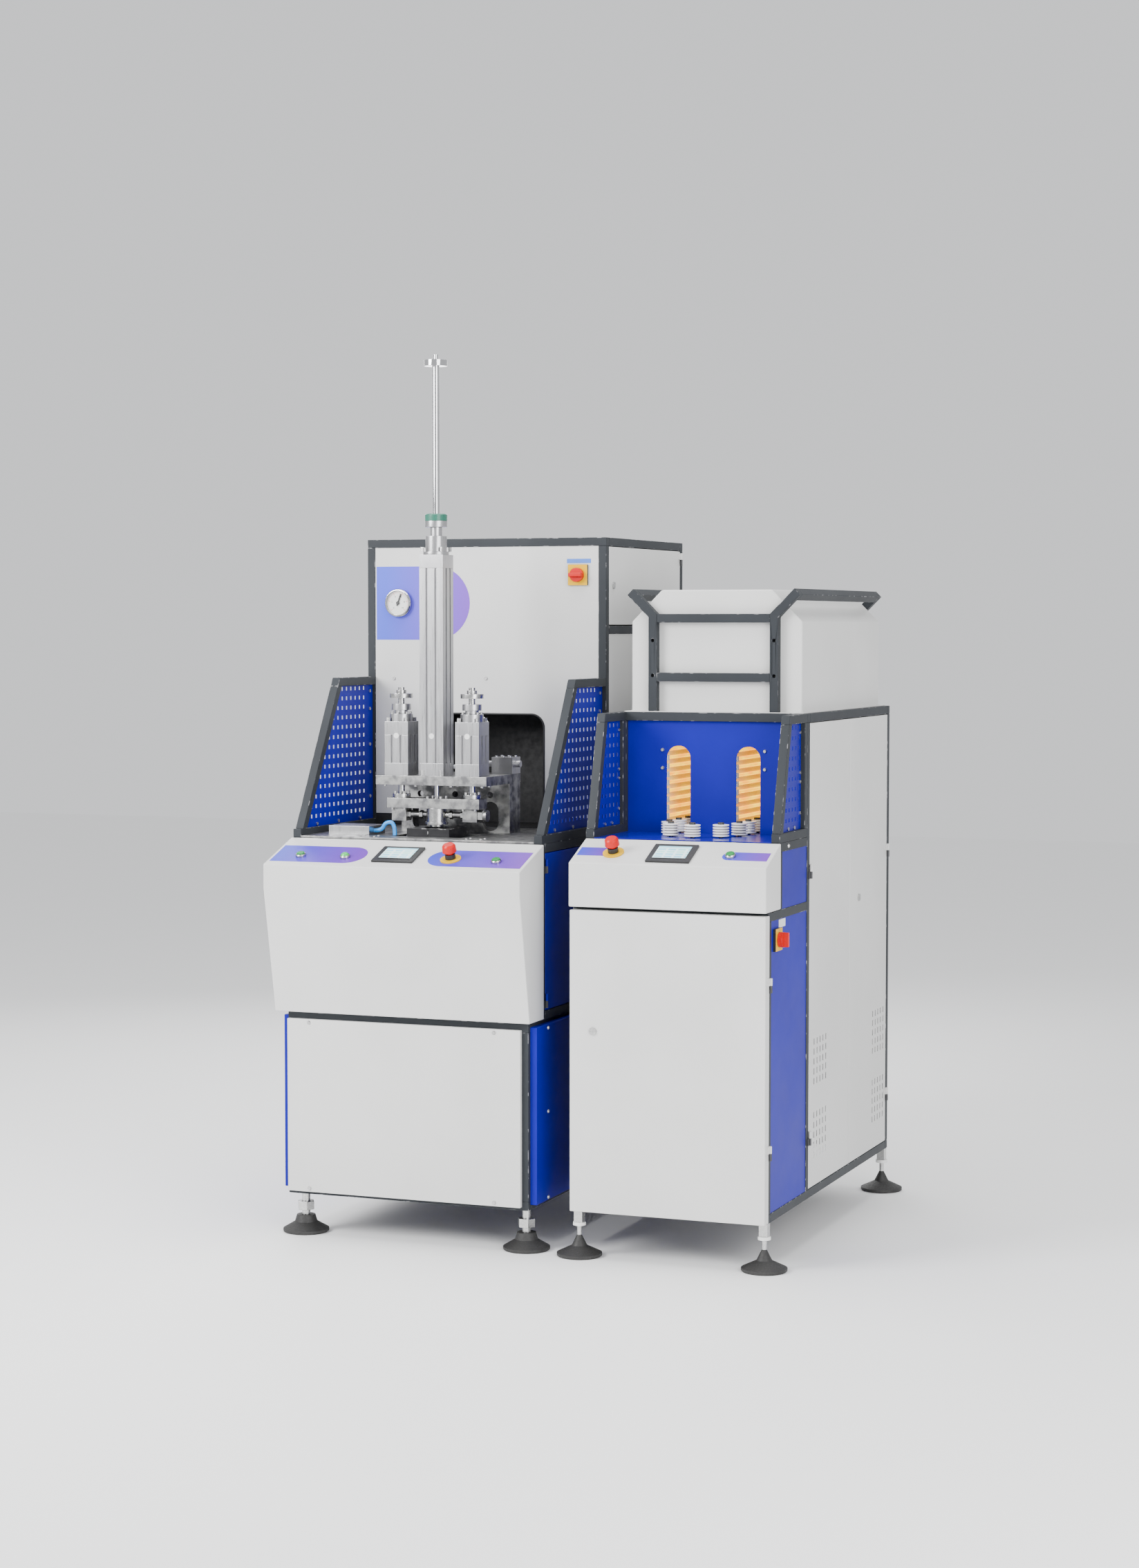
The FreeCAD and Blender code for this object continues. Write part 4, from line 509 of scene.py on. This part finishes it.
def round_axis(x, radius, high, start, count):
    """Places spread evenly on a circle round an upright axis."""
    turns = (math.radians(start + 360 / count * step) for step in range(count))
    return [(x + radius * math.cos(turn), HEAD_DEEP + radius * math.sin(turn), high) for turn in turns]


fastened("cylinder_corner_nuts", [(x + 29 * a, HEAD_DEEP + 29 * b, 1486) for x in SIDE_AXES
                                  for a, b in SQUARE], UP, 6, 11, sides=6, socket=0.6)
fastened("cylinder_flange_screws", [spot for x in SIDE_AXES for spot in round_axis(x, 27, 1508, 30, 6)],
         UP, 3.8, 6)
fastened("long_cylinder_nuts", [(MIDDLE_AXIS + 30 * a, HEAD_DEEP + 30 * b, 1978) for a, b in SQUARE],
         UP, 5.6, 13, sides=6, socket=0.6)
fastened("long_cylinder_foot_screws", [(MIDDLE_AXIS + 29 * a, 192, 1329) for a in (-1, 1)], UP, 5.5, 17)
fastened("plate_under_screws", [(x, y, 1302) for x in (216, 314, 426, 524) for y in (204, 256)],
         DOWN, 5, 5)
fastened("coupling_screws", [spot for x in SIDE_AXES for spot in round_axis(x, 20, 1275, 45, 4)],
         UP, 4.2, 7, body="nozzle_carriage")
fastened("nozzle_clamp_screws", [(MIDDLE_AXIS + 21 * a, HEAD_DEEP + 20 * b, 1263) for a, b in SQUARE],
         UP, 4.2, 6, body="nozzle_carriage")
fastened("lug_screws", [(x + 19 * a, HEAD_DEEP + 24 * b, 1234) for x in SIDE_AXES for a, b in SQUARE],
         DOWN, 3.6, 5, body="nozzle_carriage")
for name, spots, direction, radius, height, socket in (
        ("pipe_nuts_left", (281, 318), RIGHTWARD, 12.5, 10, 0.7),
        ("pipe_nuts_right", (459, 422), LEFTWARD, 12.5, 10, 0.7),
        ("plug_hexagon", (506,), RIGHTWARD, 21, 15, 0.75)):
    fastened(name, [(x, HEAD_DEEP, 1215) for x in spots], direction, radius, height, sides=6,
             socket=socket, body="nozzle_carriage", finish=bright_steel)
fastened("valve_screws", [(490 + 22 * step, y, 1378) for step in range(3) for y in (394, 436)], UP, 4, 4)
fastened("deck_screws", [(x, y, 1155) for x in (180, 225, 515, 560) for y in (110, 140)], UP, 4.5, 2.5)

# ---------------------------------------------------------------- air hoses
# Plastic tubing pushed into fittings: two pale hoses from the valve block to the backs of the long
# and the right cylinder, and a short blue one from the junction block to the deck.

hose_plastic = mottled("translucent_hose", ((0.66, 0.68, 0.70), (0.80, 0.82, 0.83)), (50, 3), (0.25, 0.4),
                       (120, 3), coat_weight=0.4)
blue_hose = mottled("blue_hose", ((0.01, 0.25, 0.72), (0.02, 0.32, 0.85)), (50, 3), (0.25, 0.4), (120, 3),
                    coat_weight=0.3)
HOSE_THICK = 0.012
for name, length, finish, route in (
        ("port_hose", 0.195, hose_plastic,
         ((462, 400, 1358), (412, 400, 1358), (376, 392, 1353), (370, 346, 1347), (370, 279.5, 1347))),
        ("upper_hose", 0.347, hose_plastic,
         ((462, 428, 1358), (408, 428, 1358), (388, 428, 1430), (422, 414, 1506), (482, 374, 1466),
          (482, 279.5, 1466))),
        ("deck_hose", 0.102, blue_hose,
         ((190, 190, 1167), (212, 190, 1167), (224, 190, 1192), (254, 190, 1192), (254, 190, 1155)))):
    line = bpy.data.curves.new(name, "CURVE")
    line.dimensions = "3D"
    line.bevel_depth = HOSE_THICK / 2
    line.bevel_resolution = 5
    line.use_fill_caps = True
    run = line.splines.new("NURBS")
    run.points.add(len(route) - 1)
    for point, spot in zip(run.points, route):
        point.co = (*mm(*spot), 1)
    run.order_u = 3
    run.use_endpoint_u = True
    run.resolution_u = 16
    hose = bpy.data.objects.new(f"{name}_line", line)
    bpy.context.scene.collection.objects.link(hose)
    line.materials.append(finish)
    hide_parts(name)
    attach(hose, "machine")
    mm(*route[0])

# ---------------------------------------------------------------- mould
# Two black anodised mould blocks that part to left and right, with bright machined edges.

black_anodised, tree, shader = finish_named("black_anodised", metallic=0.6)
rubbed = add(tree, "ShaderNodeGroup", {}, node_tree=wear)
rubbed.inputs["Reach"].default_value = 0.5
rubbed.inputs["Patch Scale"].default_value = 70
black = mixed(tree, noise(tree, 20, 6), (0.012, 0.012, 0.014, 1), (0.03, 0.03, 0.032, 1))
feed(tree, shader, base_color=mixed(tree, rubbed.outputs["Mask"], black, (0.5, 0.5, 0.5, 1)),
     roughness=between(tree, noise(tree, 80, 5), 0.3, 0.7, 0.3, 0.5))
for node in ("left_mould_half", "right_mould_half"):
    stand_in(node, 1.0, black_anodised)

# ---------------------------------------------------------------- controls
# Metal-collared green push buttons, red mushroom stop buttons on yellow discs, two touch screens,
# two rotary main switches and a pressure gauge.


def plastic(name, colour, roughness=0.32, spread=0.15, **plain):
    """A moulded plastic with a faint change of shade and gloss."""
    deep = tuple(value * (1 - spread) for value in colour)
    return mottled(name, (deep, colour), (60, 4), (roughness - 0.06, roughness + 0.08), (260, 4),
                   marks=((1500, 2), 0.15, 0.0001), **plain)


button_green = plastic("button_green", (0.002, 0.22, 0.04), specular_ior_level=0.3)
stop_red = plastic("stop_red", (0.60, 0.004, 0.002), specular_ior_level=0.3)
stop_yellow = plastic("stop_yellow", (0.80, 0.47, 0.0), 0.4, specular_ior_level=0.2)
switch_black = plastic("switch_black", (0.015, 0.015, 0.016), 0.4)
lamp_green = plastic("lamp_green", (0.02, 0.55, 0.08), 0.15, coat_weight=0.8)
BETWEEN_CABINETS = mm(800, 0, 0).x
PRESS_FRONT, OVEN_FRONT = mm(0, -103, 1085), mm(0, -20, 1110)
PRESS_RISE, OVEN_RISE = math.atan2(64, 181), math.atan2(58, 135)


def above_desk(point, front, rise):
    """How far a point stands off a sloping desk, in millimetres."""
    away = point - front
    return 1000 * (away.z * math.cos(rise) - away.y * math.sin(rise))


def bezel_paint(point, normal):
    """Silver collars, yellow discs under black collars for the stops, and a green lamp."""
    press = point.x < BETWEEN_CABINETS
    high = above_desk(point, *((PRESS_FRONT, PRESS_RISE) if press else (OVEN_FRONT, OVEN_RISE)))
    for across, kind in ((530, "stop"), (990, "stop"), (206, "lamp")):
        if abs(point.x - mm(across, 0, 0).x) < 0.031:
            if kind == "stop":
                return 1 if high < 4.2 else 2
            return 3 if high > 9.2 else 0
    return 0


stand_in("control_bezels", 0.6, bright_steel, stop_yellow, switch_black, lamp_green, paint=bezel_paint,
         steps=2)
for node in ("left_start_button", "right_start_button", "oven_start_button"):
    stand_in(node, 0.6, button_green, steps=2)
for node in ("press_stop_head", "oven_stop_head"):
    stand_in(node, 2.0, stop_red, steps=4)


def plate_paint(point, normal):
    """The switch plates are yellow in front, on a black body."""
    outward = -normal.y if point.x < BETWEEN_CABINETS else normal.x
    return 0 if outward > 0.9 else 1


stand_in("main_switch_plates", 1.5, stop_yellow, switch_black, paint=plate_paint)
for node in ("press_switch_knob", "oven_switch_knob"):
    stand_in(node, 1.5, stop_red)
stand_in("touch_screens", 1.5, switch_black)
stand_in("gauge_case", 0.8, chrome)
stand_in("gauge_needle", 0, switch_black)


def laid(name, outlines, origin, up, thick, finish, along=Vector((1, 0, 0))):
    """Thin flat pieces on a plane, from outlines in millimetres along it and up it."""
    shape = bmesh.new()
    span = shape.loops.layers.uv.new("span")
    for outline in outlines:
        low, high = ([end(point[axis] for point in outline) for axis in (0, 1)] for end in (min, max))
        corners = [shape.verts.new(origin + along * (x / 1000) + up * (y / 1000)) for x, y in outline]
        face = shape.faces.new(corners)
        for loop, point in zip(face.loops, outline):
            loop[span].uv = [(point[axis] - low[axis]) / (high[axis] - low[axis]) for axis in (0, 1)]
        raised = bmesh.ops.extrude_face_region(shape, geom=[face])["geom"]
        bmesh.ops.translate(shape, verts=[item for item in raised if isinstance(item, bmesh.types.BMVert)],
                            vec=along.cross(up) * (thick / 1000))
    bmesh.ops.recalc_face_normals(shape, faces=shape.faces)
    mesh = bpy.data.meshes.new(name)
    shape.to_mesh(mesh)
    shape.free()
    piece = show(name, mesh, finish)
    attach(piece, "machine")
    return piece


def oblong(left, right, low, high):
    """A rectangle's outline."""
    return [(left, low), (right, low), (right, high), (left, high)]


def disc(across, high, radius, sides=48):
    """A circle's outline."""
    return [(across + radius * math.cos(2 * math.pi * step / sides),
             high + radius * math.sin(2 * math.pi * step / sides)) for step in range(sides)]


def round_ended(left, right, low, high, side):
    """An oblong with a half round at its left or right end."""
    radius, middle = (high - low) / 2, (high + low) / 2
    turns = [math.pi * (step / 24 - 0.5) for step in range(25)]
    if side == "right":
        return [(left, low)] + [(right - radius + radius * math.cos(turn), middle + radius * math.sin(turn))
                                for turn in turns] + [(left, high)]
    return [(right, high)] + [(left + radius - radius * math.cos(turn), middle - radius * math.sin(turn))
                              for turn in turns] + [(right, low)]


UPRIGHT = Vector((0, 0, 1))
TOWER_FACE = mm(0, 596, 0)
FILM_THICK = 0.3
PRESS_UP = Vector((0, math.cos(PRESS_RISE), math.sin(PRESS_RISE)))
OVEN_UP = Vector((0, math.cos(OVEN_RISE), math.sin(OVEN_RISE)))

# pale displays lie behind the screens' glass, laid out in plain blocks under a darker bar
display, tree, shader = finish_named("display", roughness=0.12, emission_strength=0.5)
place = add(tree, "ShaderNodeUVMap", uv_map="span").outputs[0]
blocks = add(tree, "ShaderNodeTexBrick", {
    "Vector": place, "Color1": (0.22, 0.58, 0.78, 1), "Color2": (0.40, 0.76, 0.66, 1),
    "Mortar": (0.66, 0.86, 0.90, 1), "Scale": 3.0, "Mortar Size": 0.11, "Brick Width": 0.9,
    "Row Height": 0.62}, offset=0.0).outputs[0]
bar = add(tree, "ShaderNodeMath", {0: add(tree, "ShaderNodeSeparateXYZ", {0: place}).outputs[1], 1: 0.86},
          operation="GREATER_THAN").outputs[0]
shown = mixed(tree, bar, blocks, (0.30, 0.62, 0.76, 1))
feed(tree, shader, base_color=shown, emission_color=shown)
DISPLAY_LIFT, HALF_WIDE, HALF_TALL = 0.0066, 48, 34
for name, front, up, across, middle in (("press_display", PRESS_FRONT, PRESS_UP, 362, 90),
                                        ("oven_display", OVEN_FRONT, OVEN_UP, 1162, 66)):
    away = Vector((1, 0, 0)).cross(up) * DISPLAY_LIFT
    laid(name, [oblong(across - HALF_WIDE, across + HALF_WIDE, middle - HALF_TALL, middle + HALF_TALL)],
         front + away, up, 0.2, display)

# the gauge's white dial with its scale; the needle turns in front of it
GAUGE_ACROSS, GAUGE_HIGH, DIAL_RADIUS, TICKS_REACH, FIGURES_REACH = 85, 1833, 36.8, 33.5, 21
SCALE_START, SCALE_SWEEP = 225, 270
dial_white = plastic("dial_white", (0.80, 0.80, 0.78), 0.4, 0.04)
laid("gauge_dial", [disc(0, 0, DIAL_RADIUS)], mm(GAUGE_ACROSS, 587, GAUGE_HIGH), UPRIGHT, 0.3,
     dial_white)
ticks = []
for step in range(51):
    turn = math.radians(SCALE_START - SCALE_SWEEP * step / 50)
    ray, side = (Vector((math.cos(turn), math.sin(turn))), Vector((-math.sin(turn), math.cos(turn))))
    long, wide = (7, 0.55) if step % 10 == 0 else (3.5, 0.25)
    ticks.append([tuple(ray * reach + side * aside) for reach, aside in
                  ((TICKS_REACH - long, -wide), (TICKS_REACH, -wide), (TICKS_REACH, wide),
                   (TICKS_REACH - long, wide))])
laid("gauge_ticks", ticks, mm(GAUGE_ACROSS, 586.7, GAUGE_HIGH), UPRIGHT, 0.12, stop_red)
figures = bmesh.new()
for step in range(6):
    words = bpy.data.curves.new("figure", "FONT")
    words.body = str(2 * step)
    words.size = 0.0075
    words.extrude = 0.00008
    words.align_x = "CENTER"
    words.align_y = "CENTER"
    figure = bpy.data.objects.new("figure", words)
    bpy.context.scene.collection.objects.link(figure)
    drawn = as_mesh(figure)
    turn = math.radians(SCALE_START - SCALE_SWEEP * step / 5)
    drawn.transform(Matrix.Translation(mm(GAUGE_ACROSS + FIGURES_REACH * math.cos(turn), 586.6,
                                          GAUGE_HIGH + FIGURES_REACH * math.sin(turn)))
                    @ Matrix.Rotation(math.pi / 2, 4, "X"))
    figures.from_mesh(drawn)
figure_mesh = bpy.data.meshes.new("gauge_figures")
figures.to_mesh(figure_mesh)
figures.free()
figure_mesh.materials.clear()
figure_piece = show("gauge_figures", figure_mesh, switch_black)
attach(figure_piece, "machine")

# ---------------------------------------------------------------- colour films
# Printed vinyl stuck on both desks round the buttons and on the tower round the gauge, fading
# from blue to violet, with a blue strip and a white tag by the main switches, and white discs on
# the cylinders. All are wordless.


def fading(name, first, last, start, gloss):
    """Vinyl that fades from one colour to another along its length."""
    material, tree, shader = finish_named(name, specular_ior_level=0.2)
    place = add(tree, "ShaderNodeUVMap", uv_map="span").outputs[0]
    fade = between(tree, add(tree, "ShaderNodeSeparateXYZ", {0: place}).outputs[0], start, 1)
    feed(tree, shader, base_color=mixed(tree, fade, (*first, 1), (*last, 1)),
         roughness=between(tree, noise(tree, 40, 4), 0.3, 0.7, *gloss))
    return material


film = fading("colour_film", (0.035, 0.055, 0.56), (0.16, 0.035, 0.42), 0, (0.28, 0.36))
pale_film = fading("pale_colour_film", (0.075, 0.11, 0.74), (0.21, 0.07, 0.55), 0.1, (0.3, 0.4))
laid("press_desk_films", [round_ended(-17, 265, 23, 134, "right"), round_ended(460, 757, 23, 134, "left")],
     PRESS_FRONT, PRESS_UP, FILM_THICK, film)
laid("oven_desk_films", [oblong(886, 976, 44, 92), round_ended(1307, 1440, 40, 88, "left")],
     OVEN_FRONT, OVEN_UP, FILM_THICK, film)
laid("tower_film", [round_ended(9, 319, 1721, 1944, "right")], TOWER_FACE, UPRIGHT, FILM_THICK,
     pale_film)
strip_blue = plastic("strip_blue", (0.06, 0.19, 0.66), 0.35)
laid("switch_strip", [oblong(634, 711, 1950, 1963)], TOWER_FACE, UPRIGHT, FILM_THICK, strip_blue)
oven_side = Vector((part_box("oven_blue_panels")[1][0], mm(0, 0, 0).y, 0))
laid("switch_tag", [oblong(116, 177, 936, 958)], oven_side, UPRIGHT, FILM_THICK, dial_white,
     along=Vector((0, 1, 0)))
laid("marker_discs", [disc(x, 1445, 8) for x in (LEFT_AXIS, MIDDLE_AXIS, RIGHT_AXIS)], mm(0, 192.5, 0),
     UPRIGHT, 0.25, dial_white)

# ---------------------------------------------------------------- rubber edging
# A black rubber bead is pressed over the edge of the tower's opening, and a black skirt closes the
# gap between the tower's sheet and the deck on both sides of it.

edging = plastic("edging_rubber", (0.012, 0.012, 0.013), 0.55)
bead = bpy.data.curves.new("opening_bead", "CURVE")
bead.dimensions = "3D"
bead.bevel_depth = 0.003
bead.use_fill_caps = True
CORNER, LEFT_CORNER, RIGHT_CORNER, CORNER_HIGH = 40, 220, 520, 1458
quarter = [(CORNER * math.cos(turn), CORNER * math.sin(turn))
           for turn in (math.radians(9 * step) for step in range(11))]
bend = ([(LEFT_CORNER - CORNER, 1157)]
        + [(LEFT_CORNER - x, CORNER_HIGH + z) for x, z in quarter]
        + [(RIGHT_CORNER + z, CORNER_HIGH + x) for x, z in quarter]
        + [(RIGHT_CORNER + CORNER, 1157)])
run = bead.splines.new("POLY")
run.points.add(len(bend) - 1)
for point, (x, z) in zip(run.points, bend):
    point.co = (*mm(x, 596, z), 1)
source = bpy.data.objects.new("opening_bead", bead)
bpy.context.scene.collection.objects.link(source)
beaded = as_mesh(source)
beaded.materials.clear()
piece = show("opening_bead", beaded, edging)
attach(piece, "machine")
laid("tower_skirt", [oblong(5.5, 177, 1155.2, 1190), oblong(563, 734.5, 1155.2, 1190)], TOWER_FACE,
     UPRIGHT, 0.8, edging)

# ---------------------------------------------------------------- feet
# Moulded rubber pads on threaded studs, locked by nuts, and slimmer ones under the oven.

pad_rubber = mottled("pad_rubber", ((0.012, 0.012, 0.012), (0.035, 0.034, 0.033)), (30, 6), (0.5, 0.75),
                     (200, 4), marks=((900, 3), 0.3, 0.0002))


def foot_paint(point, normal):
    """Rubber pads, zinc studs, and a white nylon washer under each of the oven's sockets."""
    oven = point.x > BETWEEN_CABINETS
    if point.z < (0.0600 if oven else 0.0502):
        return 0
    return 2 if oven and 0.0865 < point.z < 0.0962 else 1


stand_in("machine_feet", 1.2, pad_rubber, zinc, dial_white, paint=foot_paint)

# ---------------------------------------------------------------- heating tunnel
# White ribbed mandrels carry the preforms past two banks of glowing quartz lamps, on a chain that
# runs round two wheels under the deck.

mandrel_white = plastic("mandrel_white", (0.90, 0.89, 0.88), 0.35, 0.05)
# painted shade: the grooves between the mandrels' white ribs are painted grey for the shade that falls in
# them
groove_painted_shade = plastic("groove_painted_shade", (0.34, 0.33, 0.32), 0.5)
chain_black = plastic("chain_black", (0.03, 0.03, 0.03), 0.45)
quartz, tree, shader = finish_named("glowing_quartz", roughness=0.2, emission_strength=2.5)
coil = between(tree, noise(tree, 60, 3, (1, 0.2, 1)), 0.35, 0.65)
feed(tree, shader, base_color=mixed(tree, coil, (0.7, 0.22, 0.0, 1), (0.8, 0.40, 0.02, 1)),
     emission_color=mixed(tree, coil, (1, 0.34, 0.0, 1), (1, 0.66, 0.02, 1)))
ceramic = plastic("lamp_ceramic", (0.72, 0.70, 0.66), 0.5, 0.1)


def mandrel_paint(point, normal):
    """White ribbed bodies; the stems, chucks, chain and wheels are dark."""
    return 0 if abs(point.z - 1.1905) < 0.0172 else 1


def ribbed(node):
    """Mandrel paint that also paints shade into the grooves between one mandrel's ribs, in grey."""
    low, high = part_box(node)
    axis = Vector(((low[0] + high[0]) / 2, (low[1] + high[1]) / 2))

    def paint(point, normal):
        # painted shade: upright faces close to the mandrel's axis, in its grooves, take the grey
        groove = (Vector((point.x, point.y)) - axis).length < 0.0195 and abs(normal.z) < 0.5
        return 2 if groove and mandrel_paint(point, normal) == 0 else mandrel_paint(point, normal)
    return paint


def heater_paint(point, normal):
    """Lamps in the middle, ceramic holders at their ends, polished mirrors outside them."""
    holder_reach, lamp_reach = 0.0088, 0.0056
    for bank in (1015, 1225):
        aside = abs(point.x - mm(bank, 0, 0).x)
        if aside < holder_reach:
            between_holders = mm(0, 414.2, 0).y < point.y < mm(0, 1089.8, 0).y
            return 0 if between_holders and aside < lamp_reach else 1
    return 2


for letter in "abcde":
    node = f"front_mandrel_{letter}"
    stand_in(node, 0.8, mandrel_white, chain_black, groove_painted_shade, steps=2, paint=ribbed(node))
stand_in("mandrel_chain", 0.8, mandrel_white, chain_black, steps=1, paint=mandrel_paint)
stand_in("heater_bank", 0.6, quartz, ceramic, ground_steel, steps=1, paint=heater_paint)
